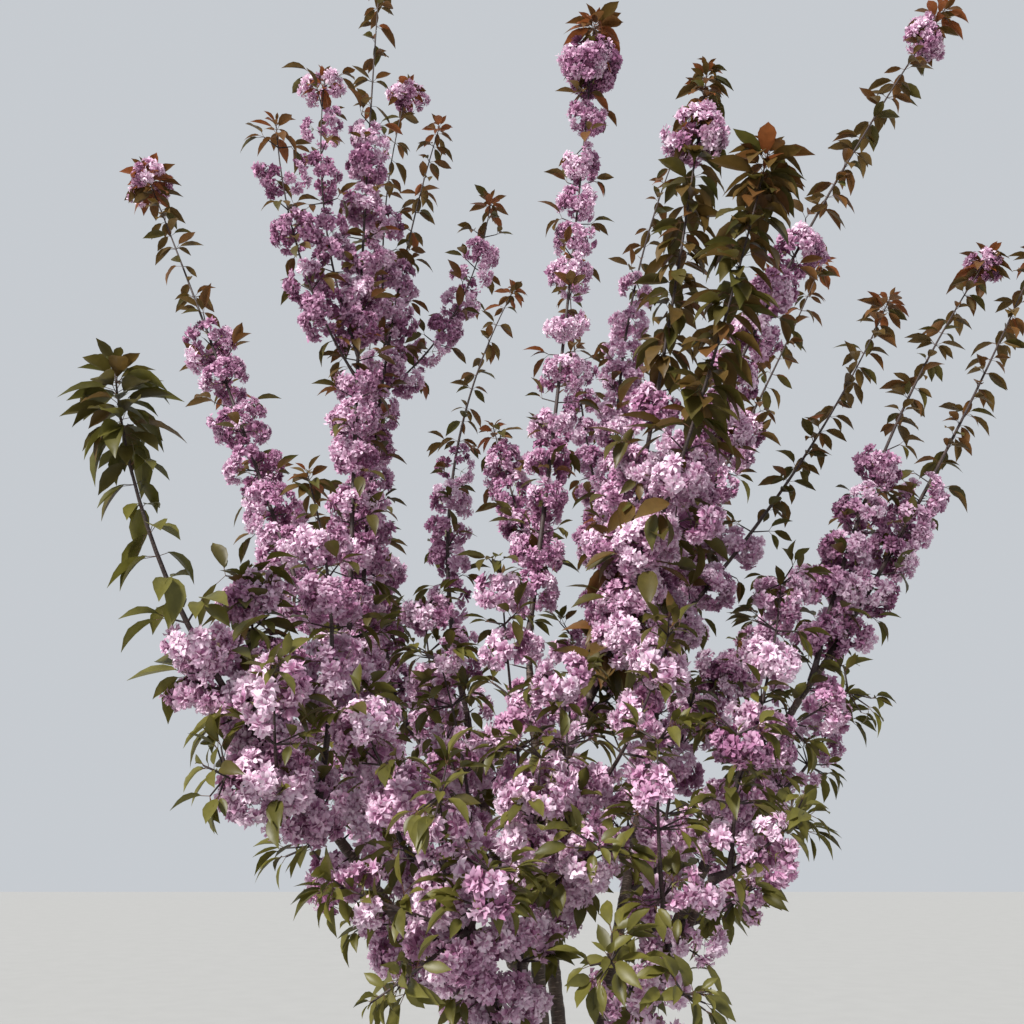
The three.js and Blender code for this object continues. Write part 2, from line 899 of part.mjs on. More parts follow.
function cutClear(solid) {
  let rest = solid;
  for (const { cut, box } of solidLimbs.values()) {
    if (boxesMeet(rest.boundingBox(), box)) {
      rest = rest.subtract(cut);
    }
  }
  return largestBody(rest);
}

for (const { name } of BOUGHS) {
  const limb = limbs.get(name);
  const solid = cutClear(limb.solid());
  tree.add(toMesh(name, solid, COLOUR.bark));
  const cut = limb.solid(GAP);
  solidLimbs.set(name, { cut, box: cut.boundingBox() });
  takeLimb(name, limb, limb.length);
}

for (const mass of masses) {
  mass.solids = [];
  for (const { limb } of mass.stems) {
    takeLimb(mass.name, limb, limb.length);
  }
}

for (const mass of masses) {
  mass.stems.forEach((stem) => growStem(mass, stem));
  const fused = cutClear(wasm.Manifold.union(mass.solids)).simplify(SLIVER);
  const bloomShare = mass.stems[0].row.bloom[1] - mass.stems[0].row.bloom[0];
  tree.add(toMesh(mass.name, fused, bloomShare > 0.5 ? COLOUR.blossom : COLOUR.leaves));
}

export default tree;
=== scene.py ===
"""A young ornamental cherry in full double pink blossom, grown on from the limbs of its CAD model."""

import math
from types import SimpleNamespace as Group

import bpy
import numpy as np
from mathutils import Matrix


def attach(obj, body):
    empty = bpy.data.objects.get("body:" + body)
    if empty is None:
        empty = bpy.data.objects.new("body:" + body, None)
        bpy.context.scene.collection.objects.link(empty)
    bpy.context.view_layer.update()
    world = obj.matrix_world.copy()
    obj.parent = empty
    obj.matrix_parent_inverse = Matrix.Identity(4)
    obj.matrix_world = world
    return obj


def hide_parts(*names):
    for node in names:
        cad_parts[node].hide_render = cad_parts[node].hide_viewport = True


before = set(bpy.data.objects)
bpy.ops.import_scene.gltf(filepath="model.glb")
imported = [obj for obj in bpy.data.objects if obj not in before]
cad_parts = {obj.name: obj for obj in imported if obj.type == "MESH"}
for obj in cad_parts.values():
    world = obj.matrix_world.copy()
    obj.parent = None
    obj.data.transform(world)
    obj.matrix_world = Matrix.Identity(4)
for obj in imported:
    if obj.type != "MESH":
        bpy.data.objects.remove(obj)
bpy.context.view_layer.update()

# Driving sizes, in metres and radians unless a name says otherwise

MM = 0.001
UP = np.array((0.0, 0.0, 1.0))
FULL_TURN = 2 * math.pi
GOLDEN_ANGLE = math.pi * (3 - math.sqrt(5))
SEED = 2600
BOUGH_SEED = 3600
MOST_TRIANGLES = 190_000  # in one joined piece

# Limbs, with the sides, the steps and the least number of steps of their tubes
TRUNK = Group(height=0.88, lean=(0.015, 0.010), top=0.054, waist=0.058, foot=0.094, flare=0.105,
              lobes=5, lobe_share=0.13, sides=60, step=0.02)
BOUGH = Group(start=0.025, end=0.012, collar=0.55, collar_run=0.09, sides=20, step=0.03, least=4)
STEM = Group(start=0.0098, end=0.0019, shoot_share=0.85, collar=0.5, collar_run=0.02,
             sides=7, step=0.06, least=3)
TAPER = 0.8
POINT = 0.8  # how far a tube's end stands past its last ring, in radii

# The one skin of trunk and boughs: its voxels and rounds of smoothing, the heights between which the fork is
# smoothed more, and the height below which its foot is flat
BARK = Group(voxel=0.008, smoothing=4, fork=(0.76, 1.10), fork_blend=0.08, fork_smoothing=40,
             foot=0.006, foot_blend=0.03, samples=48, batch=4000)

# Waves in the bark: their seed, how quickly they pass across, out and along a limb, and their height in
# metres and in radii of the limb
RELIEF = ((5, (45, 45, 16), 0.0, 0.030), (6, (60, 60, 230), 0.0007, 0.0), (7, (260, 260, 40), 0.0006, 0.0))
WAVES = 14

# Blossom: umbels of flowers on short spurs, gathered in knots
UMBEL = Group(peduncle=0.017, pedicel=(0.024, 0.043), spread=(0.8, 1.35), middle_tilt=0.35, turn_spread=0.25,
              droop=0.32, peduncle_droop=0.25, flowers=(4, 5), rises=(-0.1, 0.9), spur_shares=(0.7, 1.6),
              sizes=(0.9, 1.06), axis_lean=0.35, axis_droop=0.12, darker_share=0.3)
FLOWER = Group(radius=0.0275, sizes=(0.84, 1.08), open_kinds=6, open_seed=40, cupped_kinds=2, cupped_seed=60,
               cupped_share=0.15)
PETAL = Group(claw=0.0015, runs=(0.62, 0.38), half_widths=(0.50, 0.30), notch=0.06, curl=0.26, crumple=0.12,
              edge_crumple=1.5, turn_spread=0.16, angle_spread=0.15, lengths=(0.86, 1.08), widths=(0.9, 1.1),
              darker_share=0.25)
KNOT = Group(reach=0.027, shades=(-1, 1))
SPUR_RADII = (0.0030, 0.0022)
STALK_RADIUS = 0.0012
THIN_SIDES = 3  # of spurs and stalks

# Leaves: singly round a stem, or in tufts on spurs
LEAF = Group(width=0.41, stalk=0.24, rises=(0.0, 0.7), lift=0.1, droops=(0.4, 1.5), upright=0.6, twist=0.35,
             arches=(0.1, 0.45), folds=(0.25, 0.75), lengths=(0.62, 1.12), turn=GOLDEN_ANGLE + 0.9,
             turn_spread=0.3, shortening=0.12, stalk_radius=0.0009, stalk_overlap=0.03)
TUFT = Group(leaves=3, spread=0.85, droop_share=0.6)
TIP = Group(inset=0.01, rises=(0.95, -0.05), rise_spread=0.2, lengths=(0.65, 1.1), first_length=0.5,
            lengthening=1.2, droop=0.15)

# Tones: leaves turn from olive to bronze, and blossom darkens, from a low height over a run. The blossom's
# darkening is partly the paler, older flowers low in the crown and partly painted shade on the blossom higher
# up
LEAF_TONE = Group(low=1.5, run=1.7, most=3.2, tip=1.3, spread=0.7)
BLOSSOM_FADE_AND_SHADE = Group(low=1.7, run=1.3, darker_shares=(0.1, 0.85))

# How each kind of stem grows: the size of its flowers and of their spurs, the steps from one knot of umbels
# and from one leafy spur to the next, how many umbels a knot and how many leaves a spur has, how many leaves
# stand between two knots and how far out, the leaves' length and droop, and the number, length and stretch of
# those at its tip
WAND = dict(size=1.0, spur=0.012, knot_step=0.162, knot_umbels=(5, 6), knot_leaves=6.0, leaf_start=0.055,
            leaf_step=0.095, spur_leaves=(3, 6), leaf_length=0.084, droop=0.6, tip_leaves=16,
            tip_length=0.080, tip_stretch=0.06)


def variant(**changes):
    return Group(**{**WAND, **changes})


LOOKS = dict(
    wand=variant(),
    slender=variant(knot_step=0.165, knot_umbels=(3, 4)),
    capped=variant(tip_leaves=30, tip_length=0.125, tip_stretch=0.02),
    thick=variant(spur=0.028, knot_step=0.170, knot_umbels=(7, 9), leaf_start=0.075, leaf_step=0.080,
                  tip_leaves=34, tip_length=0.105, tip_stretch=0.15),
    bushy=variant(spur=0.018, knot_umbels=(6, 8), leaf_step=0.070, spur_leaves=(4, 6), leaf_length=0.090,
                  tip_leaves=20, tip_length=0.095, tip_stretch=0.10),
    lush=variant(leaf_step=0.026, spur_leaves=(4, 5), leaf_length=0.120, droop=0.8, tip_leaves=30,
                 tip_length=0.120, tip_stretch=0.12),
    spire=variant(leaf_step=0.030, spur_leaves=(4, 5), leaf_length=0.112, droop=0.8, tip_leaves=44,
                  tip_length=0.065, tip_stretch=0.20),
    rosette=variant(leaf_step=0.050, spur_leaves=(3, 5), leaf_length=0.112, droop=0.7, tip_leaves=44,
                    tip_length=0.115, tip_stretch=0.17),
    spray=variant(size=1.05, knot_step=0.185, knot_umbels=(4, 5), knot_leaves=13.5, leaf_start=0.064,
                  leaf_step=0.060, spur_leaves=(3, 5), leaf_length=0.076, droop=0.35, tip_leaves=10,
                  tip_length=0.074, tip_stretch=0.06),
    leafy=variant(size=1.05, knot_step=0.215, knot_umbels=(2, 3), knot_leaves=18.0, leaf_start=0.055,
                  leaf_step=0.055, spur_leaves=(4, 6), leaf_length=0.076, droop=0.35, tip_leaves=12,
                  tip_length=0.074, tip_stretch=0.09),
)
FIRST_RUN = 0.05  # from a stem's foot to what grows on it first
LAST_RUN = 0.010  # from what grows on it last to its tip
YOUNG_RUN = 0.30  # the run from a tip over which its leaves come to their full length
STEPS = (0.75, 1.25)  # the shortest and the longest step, in mean steps
SWERVE = (-0.4, 0.4)  # how far a step's turn departs from the golden angle

# Pompons near a tip: the run from the tip down to it, its umbels, and the size of its flowers and their spurs
TIP_POMPOM = ((0.035, 5, 0.92, 0.012),)
LOW_POMPOM = ((0.15, 6, 1.0, 0.012),)
SIDE_POMPOM = ((0.07, 5, 1.0, 0.030),)
BROAD_POMPOMS = ((0.135, 12, 1.1, 0.034), (0.215, 8, 1.05, 0.026))
SPIRE_POMPOM = ((0.25, 8, 1.1, 0.022),)

# Side twigs fill the foot of each wand, and the outer part of a bough bears blossom between its masses
TWIG = Group(step=0.105, to_share=0.34, length=(0.08, 0.17), shortening=(1.0, 0.6), lift=0.1, bow=-0.06,
             start=0.0036, end=0.0018, knot=0.95, rises=(0.3, 0.9), umbels=(3, 4), leaves=4, leaves_at=0.475,
             sides=5)
BOUGH_BLOOM = Group(from_share=0.5, step=0.052, rises=(0.1, 0.7), sink=0.8, umbel_share=0.8, shades=(0, 1),
                    leaf_turn=1.6, leaves=(1, 2))

# Colours, from the lightest or greenest on, and how each surface takes the light
PETAL_COLOURS = ("#f5dfee", "#e6c7dc", "#d1a4c1", "#b47ca1", "#8a5475")
LEAF_COLOURS = ("#66622c", "#575426", "#524a22", "#604b25", "#6c4a26", "#87502c", "#6f4f3a")
LEAF_STALK = len(LEAF_COLOURS) - 1  # the last of the leaf colours
BROWN, GREEN = 0, 1  # the places of the twigs' materials
PETAL_LOOK = dict(grain=90, drift=0.08, roughness=0.55, see_through=0.28, sheen=0.25)
LEAF_LOOK = dict(grain=45, drift=0.16, roughness=0.42, see_through=0.34, sheen=0.0)
TWIG_LOOK = dict(dark="#261b1b", light="#3b2c28", band="#54453e", band_scale=(150, 150, 420), depth=0.0005)
TRUNK_LOOK = dict(dark="#33281f", light="#5f5045", band="#8b7a6b", band_scale=(42, 42, 300), depth=0.0016)
STALK_LOOK = dict(colour="#7c7a3c", grain=60, drift=0.15, roughness=0.5)
FLOOR_LOOK = dict(colour="#9f9f9d", grain=3, drift=0.02, roughness=0.9)

# Studio
FLOOR_HALF = 40.0
SKY = Group(colour="#e3e8ee", strength=0.74)
SUN = Group(energy=6.0, angle=0.18, colour=(1.0, 0.97, 0.94), degrees=(53, 0, -38))
CAMERA = Group(sensor_mm=36, lens_mm=36.04, place=(-0.14, -3.0, 1.6), pitch_degrees=18.2)

# Rows of the limbs and the masses, in millimetres, as the solids have them: where on its bearer a stem
# starts, its tip, its bow, and the shares of it between which it blooms

BOUGHS = (
    ("bough_centre", "trunk", 0.97, (-90, 150, 2220), (-10, -25, 0)),
    ("bough_right_centre", "trunk", 0.96, (210, 0, 2250), (-170, -100, 0)),
    ("bough_left_front", "trunk", 0.9, (-690, -550, 1800), (-20, -20, 60)),
    ("bough_left", "trunk", 0.91, (-660, 50, 2020), (-30, -50, 110)),
    ("bough_left_back", "trunk", 0.93, (-340, 450, 2280), (-30, 20, 40)),
    ("bough_right", "trunk", 0.9, (850, 180, 2170), (-40, -60, 60)),
    ("bough_right_back", "trunk", 0.92, (400, 760, 2150), (20, 0, 60)),
    ("bough_front", "trunk", 0.93, (330, -430, 1530), (10, -20, 30)),
    ("bough_front_left", "trunk", 0.88, (-250, -520, 1400), (-10, -20, 30)),
    ("bough_back", "bough_left_back", 0.3, (-560, 820, 2080), (10, 30, 60)),
)


def shoot(at, tip, bow, bloom, look=None, pompoms=(), twigs=True):
    return Group(at=at, tip=tip, bow=bow, bloom=bloom, look=look, pompoms=pompoms, twigs=twigs)


def grown(name, bough, at, tip, bow, bloom, tone=None, shoots=(), **more):
    return Group(name=name, bough=bough, tone=tone, shoots=shoots, main=shoot(at, tip, bow, bloom, **more))


MASSES = (
    grown("wand_left_front", "bough_left_front", 1, (-1040, -900, 2640), (-50, -50, -40), (0.05, 0.4),
          look="rosette", tone=0.4, shoots=[shoot(0.03, (-810, -510, 2240), (0, 20, 0), (0.1, 1))]),
    grown("wand_left_short", "bough_left_front", 0.86, (-690, -420, 2560), (40, 60, 20), (0.25, 0.8)),
    grown("wand_left_outer", "bough_left", 1, (-1620, 500, 4200), (0, 20, 30), (0.04, 0.6), look="thick",
          pompoms=SIDE_POMPOM, twigs=False),
    grown("wand_left_tall", "bough_left", 0.93, (-650, 120, 4810), (-20, 10, 0), (0.1, 0.78), twigs=False,
          shoots=[shoot(0.42, (-810, 0, 4220), (-50, -20, -30), (0.15, 1), look="slender", twigs=False),
                  shoot(0.39, (-930, -150, 3910), (-40, -30, -60), (0.2, 0.95), look="slender",
                        twigs=False)]),
    grown("wand_left_rear", "bough_left", 0.86, (-440, 540, 4450), (-90, 40, 0), (0.08, 0.72), twigs=False,
          shoots=[shoot(0.55, (-550, 350, 4490), (-50, -10, 0), (0.1, 0.55), pompoms=TIP_POMPOM, twigs=False),
                  shoot(0.48, (-230, 760, 4240), (60, 50, -60), (0.06, 0.9), look="slender", twigs=False)]),
    grown("wand_back_left", "bough_back", 1, (-800, 1400, 4150), (-90, 60, 0), (0.05, 0.7)),
    grown("wand_left_back", "bough_left_back", 1, (-130, 1080, 4000), (-120, 40, 0), (0.04, 0.5),
          look="slender", twigs=False),
    grown("wand_centre", "bough_centre", 1, (180, 180, 4620), (10, 50, 0), (0.04, 0.86),
          look="capped", pompoms=BROAD_POMPOMS, twigs=False,
          shoots=[shoot(0.1, (-210, 520, 3090), (10, 60, -40), (0.15, 1), look="wand")]),
    grown("wand_right_back", "bough_right_centre", 1, (670, 880, 4760), (-140, 120, -20), (0.05, 0.66),
          twigs=False),
    grown("wand_right_front_tall", "bough_right_centre", 0.9, (460, -450, 3880), (0, -110, -50), (0.06, 0.45),
          look="spire", tone=2.6, pompoms=SPIRE_POMPOM),
    grown("wand_right_front", "bough_right_centre", 0.84, (570, -620, 3440), (10, -110, -70), (0.1, 0.45),
          look="lush", tone=2.4),
    grown("wand_right", "bough_right_centre", 0.94, (1450, 0, 4530), (-60, 20, 30), (0.08, 0.62),
          look="bushy", pompoms=LOW_POMPOM),
    grown("wand_right_inner", "bough_right_centre", 0.82, (1180, 800, 3970), (20, 90, -40), (0.1, 0.58)),
    grown("wand_right_low", "bough_right_centre", 0.77, (1340, 550, 3650), (70, 50, -50), (0.12, 0.4),
          look="bushy", twigs=False),
    grown("wand_far_right_inner", "bough_right", 0.93, (1690, 420, 3760), (-60, 30, 30), (0.06, 0.46),
          look="bushy", pompoms=TIP_POMPOM, twigs=False),
    grown("wand_far_right", "bough_right", 1, (1930, 500, 3830), (30, 60, -30), (0.04, 0.38),
          look="bushy", twigs=False),
    grown("wand_back_right", "bough_right_back", 1, (1140, 1450, 4300), (-60, 60, 0), (0.05, 0.66)),
    grown("wand_back_centre", "bough_right_back", 0.9, (140, 1440, 4380), (-60, 60, 0), (0.05, 0.75)),
    grown("wand_back_far_right", "bough_right_back", 0.8, (1400, 1050, 3050), (0, 60, -60), (0.1, 0.75)),
    grown("wand_back_far_left", "bough_back", 0.85, (-1380, 1050, 3520), (-40, 40, -60), (0.08, 0.7)),
    grown("spray_left_front_outer", "bough_left_front", 0.84, (-800, -750, 1770), (0, -40, 0), (0, 1),
          shoots=[shoot(0.35, (-650, -790, 1950), (0, -30, 0), (0.1, 1))]),
    grown("spray_left_front", "bough_left_front", 0.3, (-480, -680, 1880), (60, -90, -60), (0.2, 1),
          shoots=[shoot(0.5, (-290, -800, 1720), (0, 0, 0), (0.1, 1))]),
    grown("spray_left_low", "bough_left", 0.28, (-680, -270, 1640), (0, 0, -60), (0.25, 1)),
    grown("spray_front_left", "bough_front_left", 1, (-190, -740, 1560), (10, -40, 0), (0, 1), look="leafy",
          shoots=[shoot(0.2, (-430, -700, 1300), (0, -20, 0), (0, 1)),
                  shoot(0.15, (-500, -660, 1520), (0, -20, 0), (0.1, 1))]),
    grown("spray_front_left_upper", "bough_front_left", 0.55, (-70, -480, 1810), (0, -40, 0), (0.15, 1)),
    grown("spray_left", "bough_left", 0.42, (-570, -230, 2150), (-40, -90, -60), (0.15, 1),
          shoots=[shoot(0.45, (-790, -220, 1900), (0, 0, -30), (0.15, 1))]),
    grown("spray_left_inner", "bough_left", 0.35, (-350, -60, 2120), (40, -10, 0), (0.15, 1), look="leafy"),
    grown("spray_left_rear", "bough_left", 0.5, (-700, 310, 1980), (-40, 60, -60), (0.15, 1),
          shoots=[shoot(0.4, (-440, 400, 1800), (0, 0, 0), (0.1, 1))]),
    grown("spray_left_back", "bough_left_back", 0.42, (-420, 230, 2340), (-50, -20, 0), (0.15, 1)),
    grown("spray_centre_front", "bough_centre", 0.3, (-170, -200, 2330), (-20, -90, 0), (0.25, 1)),
    grown("spray_centre_back", "bough_centre", 0.4, (60, 440, 2290), (20, 60, 0), (0.15, 1),
          shoots=[shoot(0.3, (-130, 560, 1830), (0, 20, 0), (0.2, 1))]),
    grown("spray_middle", "bough_right_centre", 0.35, (-10, -400, 2000), (30, -100, -60), (0.2, 1),
          shoots=[shoot(0.35, (60, -560, 1610), (0, -20, 0), (0.15, 1))]),
    grown("spray_right_centre", "bough_right_centre", 0.55, (260, -450, 2130), (20, -70, -60), (0.15, 1)),
    grown("spray_front_low", "bough_front", 0.5, (60, -660, 1390), (0, -40, 0), (0.2, 1), look="leafy",
          shoots=[shoot(0.35, (260, -680, 1320), (0, 0, 0), (0.2, 1))]),
    grown("spray_front", "bough_front", 0.7, (200, -560, 1840), (-20, -60, -30), (0.15, 1), look="leafy"),
    grown("spray_front_right", "bough_front", 1, (520, -520, 1680), (0, -20, -20), (0.5, 1), look="leafy",
          shoots=[shoot(0.2, (400, -500, 1860), (0, -20, 0), (0.1, 1))]),
    grown("spray_right_low", "bough_right", 0.4, (600, -200, 1720), (30, -40, -60), (0.6, 1), look="leafy",
          shoots=[shoot(0.4, (430, -220, 1480), (0, 0, 0), (0.2, 1))]),
    grown("spray_right", "bough_right", 0.5, (640, -110, 2330), (20, -100, 0), (0.15, 1),
          shoots=[shoot(0.4, (810, -90, 2020), (0, 0, 0), (0.1, 1))]),
    grown("spray_right_inner", "bough_right", 0.3, (430, 170, 2080), (-20, 60, 0), (0.15, 1)),
    grown("spray_right_outer", "bough_right", 0.6, (930, 340, 2060), (30, 40, -60), (0.15, 1), look="leafy",
          shoots=[shoot(0.4, (640, 420, 1840), (0, 0, 0), (0.15, 1))]),
    grown("spray_back_right", "bough_right_back", 0.45, (660, 790, 1840), (0, 0, -40), (0.15, 1),
          shoots=[shoot(0.25, (180, 780, 1740), (0, 20, 0), (0.15, 1))]),
    grown("spray_back_left", "bough_back", 0.45, (-260, 960, 1960), (0, 20, -30), (0.15, 1),
          shoots=[shoot(0.3, (-640, 860, 1680), (0, 0, 0), (0.15, 1))]),
)

# Small sums


def mix(low, high, share):
    return low + (high - low) * share


def unit(vectors):
    return vectors / np.linalg.norm(vectors, axis=-1, keepdims=True)


def swung(first, second, angle):
    """The direction at an angle from the first towards the second."""
    return first * math.cos(angle) + second * math.sin(angle)


def square_pair(along):
    """Two directions square to each given one."""
    helper = np.where(np.abs(along[..., 2:3]) > 0.9, (1.0, 0.0, 0.0), UP)
    across = unit(np.cross(along, helper))
    return across, np.cross(along, across)


def between(draw, ends):
    """A random number between two ends."""
    return mix(*ends, draw.random())


def whole(draw, ends):
    """A random whole number from one end to the other."""
    return int(draw.integers(ends[0], ends[1] + 1))


def linear_part(part):
    return part / 12.92 if part < 0.04045 else ((part + 0.055) / 1.055) ** 2.4


def linear(hex_colour):
    """A colour given as #rrggbb in the linear values that shaders read."""
    parts = [int(hex_colour[i : i + 2], 16) / 255 for i in (1, 3, 5)]
    return (*map(linear_part, parts), 1.0)


# Limbs


class Limb:
    """A bowed, tapering limb from a start in metres to a tip in millimetres."""

    def __init__(self, start, tip, bow, start_radius, end_radius):
        self.start = np.array(start, float)
        self.tip = np.array(tip, float) * MM
        self.bow = np.array(bow, float) * MM
        self.radii = (start_radius, end_radius)
        chord = np.linalg.norm(self.tip - self.start)
        self.length = chord * (1 + 8 / 3 * (np.linalg.norm(self.bow) / chord) ** 2)
        lean = self.tip - self.start
        self.side = unit(np.array((-lean[1], lean[0], 0.0)))

    def point(self, share):
        return mix(self.start, self.tip, share) + 4 * share * (1 - share) * self.bow

    def frame(self, share):
        """Along the limb, and two directions square to it."""
        along = unit(self.tip - self.start + (4 - 8 * share) * self.bow)
        across = unit(self.side - self.side.dot(along) * along)
        return along, across, np.cross(along, across)

    def radius(self, share):
        return mix(*self.radii, share**TAPER)


class Trunk:
    """The trunk, with its lean, its taper and the flare of its roots."""

    length = TRUNK.height

    def point(self, share):
        lean_x, lean_y = TRUNK.lean
        return np.array((lean_x * share**2, lean_y * share**2, TRUNK.height * share))

    def frame(self, share):
        return UP, np.array((1.0, 0.0, 0.0)), np.array((0.0, 1.0, 0.0))

    def radius(self, share, angle=0.0):
        flare = math.exp(-share * TRUNK.height / TRUNK.flare)
        lobes = 1 + TRUNK.lobe_share * np.cos(TRUNK.lobes * angle) * flare
        taper = mix(TRUNK.waist, TRUNK.top, share)
        return (taper + (TRUNK.foot - TRUNK.waist) * flare) * lobes


limbs = {"trunk": Trunk()}
for name, parent, at, tip, bow in BOUGHS:
    limbs[name] = Limb(limbs[parent].point(at), tip, bow, BOUGH.start, BOUGH.end)


class Mass:
    """One wand or spray: its main stem and its shoots, each with its own seed."""

    def __init__(self, place, row):
        self.name = row.name
        self.look = row.main.look or self.name.split("_")[0]
        self.is_wand = self.name.startswith("wand")
        self.tone = row.tone
        seed = SEED + 10 * place
        main = Limb(limbs[row.bough].point(row.main.at), row.main.tip, row.main.bow, STEM.start, STEM.end)
        self.stems = [(main, row.main, seed)]
        for turn, each in enumerate(row.shoots):
            radius = STEM.shoot_share * main.radius(each.at)
            limb = Limb(main.point(each.at), each.tip, each.bow, radius, STEM.end)
            self.stems.append((limb, each, seed + turn + 1))


masses = [Mass(place, row) for place, row in enumerate(MASSES)]

# Joined meshes from arrays


class Pile:
    """Points, triangles and material numbers of one kind, gathered into one mesh."""

    def __init__(self):
        self.points, self.triangles, self.shades, self.places = [], [], [], []
        self.names = set()
        self.point_count = self.triangle_count = 0

    def add(self, points, triangles, shades, places=None):
        points = np.asarray(points, float).reshape(-1, 3)
        triangles = np.asarray(triangles).reshape(-1, 3)
        self.points.append(points)
        self.triangles.append(triangles + self.point_count)
        self.shades.append(np.broadcast_to(shades, len(triangles)))
        self.places.append(np.zeros_like(points) if places is None else places.reshape(-1, 3))
        self.point_count += len(points)
        self.triangle_count += len(triangles)

    def add_copies(self, points, triangles, shades):
        """Adds copies of one form: points are (copies, points, 3), triangles those of one copy."""
        copies, count, _ = points.shape
        offsets = (count * np.arange(copies))[:, None, None]
        self.add(points, triangles[None] + offsets, shades)

    def take(self, other):
        self.points += other.points
        self.triangles += [triangles + self.point_count for triangles in other.triangles]
        self.shades += other.shades
        self.places += other.places
        self.point_count += other.point_count
        self.triangle_count += other.triangle_count
        self.names |= other.names

    def build(self, name, materials):
        mesh = bpy.data.meshes.new(name)
        points = np.concatenate(self.points)
        triangles = np.concatenate(self.triangles)
        mesh.vertices.add(len(points))
        mesh.vertices.foreach_set("co", points.ravel())
        mesh.loops.add(triangles.size)
        mesh.loops.foreach_set("vertex_index", triangles.ravel().astype(np.int32))
        mesh.polygons.add(len(triangles))
        mesh.polygons.foreach_set("loop_start", np.arange(0, triangles.size, 3, dtype=np.int32))
        mesh.polygons.foreach_set("material_index", np.concatenate(self.shades).astype(np.int32))
        for material in materials:
            mesh.materials.append(material)
        mesh.update(calc_edges=True)
        return shown(name, mesh, np.concatenate(self.places))


def new_object(name, data):
    item = bpy.data.objects.new(name, data)
    bpy.context.scene.collection.objects.link(item)
    return item


def shown(name, mesh, places):
    """A smooth object of a mesh. It keeps each point's place across, out and along its limb, for the bark."""
    mesh.polygons.foreach_set("use_smooth", np.ones(len(mesh.polygons), bool))
    attribute = mesh.attributes.new("limb_place", "FLOAT_VECTOR", "POINT")
    attribute.data.foreach_set("vector", places.astype(np.float32).ravel())
    return new_object(name, mesh)


def circle(sides):
    turns = FULL_TURN * np.arange(sides) / sides
    return np.cos(turns), np.sin(turns)


def ring_round(across, out, sides):
    """Directions all round each centre, from its two square ones."""
    cosines, sines = circle(sides)
    return cosines[:, None] * across[..., None, :] + sines[:, None] * out[..., None, :]


def tube_faces(rings, sides):
    """Triangles between rings of points that follow each other."""
    at = np.arange(rings * sides).reshape(rings, sides)
    after = np.roll(at, -1, axis=1)
    return np.stack((at[:-1], after[:-1], after[1:], at[:-1], after[1:], at[1:]), axis=-1).reshape(-1, 3)


def cap_faces(first, sides, centre):
    """Triangles from a ring of points to one centre."""
    ring = first + np.arange(sides)
    return np.stack((ring, np.roll(ring, -1), np.full(sides, centre)), axis=-1)


def tube(pile, centres, across, out, radii, closed=False):
    """A tube through centres with a pointed end and, where asked, a closed foot. Radii are (rings, sides)."""
    rings, sides = radii.shape
    cosines, sines = circle(sides)
    points = centres[:, None] + radii[..., None] * ring_round(across, out, sides)
    runs = np.concatenate(((0.0,), np.cumsum(np.linalg.norm(np.diff(centres, axis=0), axis=1))))
    places = np.stack((radii * cosines, radii * sines, np.repeat(runs[:, None], sides, axis=1)), axis=-1)
    end = unit(centres[-1] - centres[-2]) * radii[-1].mean() * POINT + centres[-1]
    points = [points.reshape(-1, 3), end[None]]
    places = [places.reshape(-1, 3), [(0.0, 0.0, runs[-1])]]
    faces = [tube_faces(rings, sides), cap_faces((rings - 1) * sides, sides, rings * sides)]
    if closed:
        points.append(centres[:1])
        places.append([(0.0, 0.0, 0.0)])
        faces.append(cap_faces(0, sides, rings * sides + 1)[:, (1, 0, 2)])
    pile.add(np.concatenate(points), np.concatenate(faces), BROWN, np.concatenate(places))


def spikes(pile, paths, radius, shade):
    """Many thin three-sided spikes: paths is (spikes, 2 ends, 3), each pointed at its far end."""
    across, out = square_pair(unit(paths[:, 1] - paths[:, 0]))
    ring = paths[:, :1] + radius * ring_round(across, out, THIN_SIDES)
    points = np.concatenate((ring, paths[:, 1:]), axis=1)
    pile.add_copies(points, cap_faces(0, THIN_SIDES, THIN_SIDES), shade)


def thin_tubes(pile, paths, radii, shade):
    """Many thin open tubes of the same number of points: paths is (tubes, points, 3)."""
    tubes, steps, _ = paths.shape
    across, out = square_pair(unit(np.gradient(paths, axis=1)))
    radii = np.broadcast_to(radii, (tubes, steps))[..., None, None]
    points = paths[:, :, None] + radii * ring_round(across, out, THIN_SIDES)
    pile.add_copies(points.reshape(tubes, -1, 3), tube_faces(steps, THIN_SIDES), shade)


# Flowers


def petal(draw, angle, turn, length, width, lift):
    """Five points and three triangles of one petal: narrow at its claw, blunt and ruffled at its edge."""
    radial = np.array((math.cos(turn), math.sin(turn), 0.0))
    side = np.array((-math.sin(turn), math.cos(turn), 0.0))
    lower_run = swung(UP, radial, angle - PETAL.curl)
    upper_run = swung(UP, radial, angle + PETAL.curl)
    inward = UP * math.sin(angle) - radial * math.cos(angle)
    crumple = PETAL.crumple * FLOWER.radius
    edge_crumple = crumple * PETAL.edge_crumple
    base = UP * lift + radial * PETAL.claw
    middle = base + lower_run * PETAL.runs[0] * length
    edge = middle + upper_run * PETAL.runs[1] * length
    middle_half, edge_half = PETAL.half_widths
    notch = upper_run * PETAL.notch * length
    points = [
        base,
        middle - side * middle_half * width + inward * crumple * draw.normal(),
        middle + side * middle_half * width + inward * crumple * draw.normal(),
        edge - side * edge_half * width + inward * edge_crumple * draw.normal(),
        edge + side * edge_half * width - notch + inward * edge_crumple * draw.normal(),
    ]
    return np.array(points), np.array([(0, 2, 1), (1, 2, 4), (1, 4, 3)])
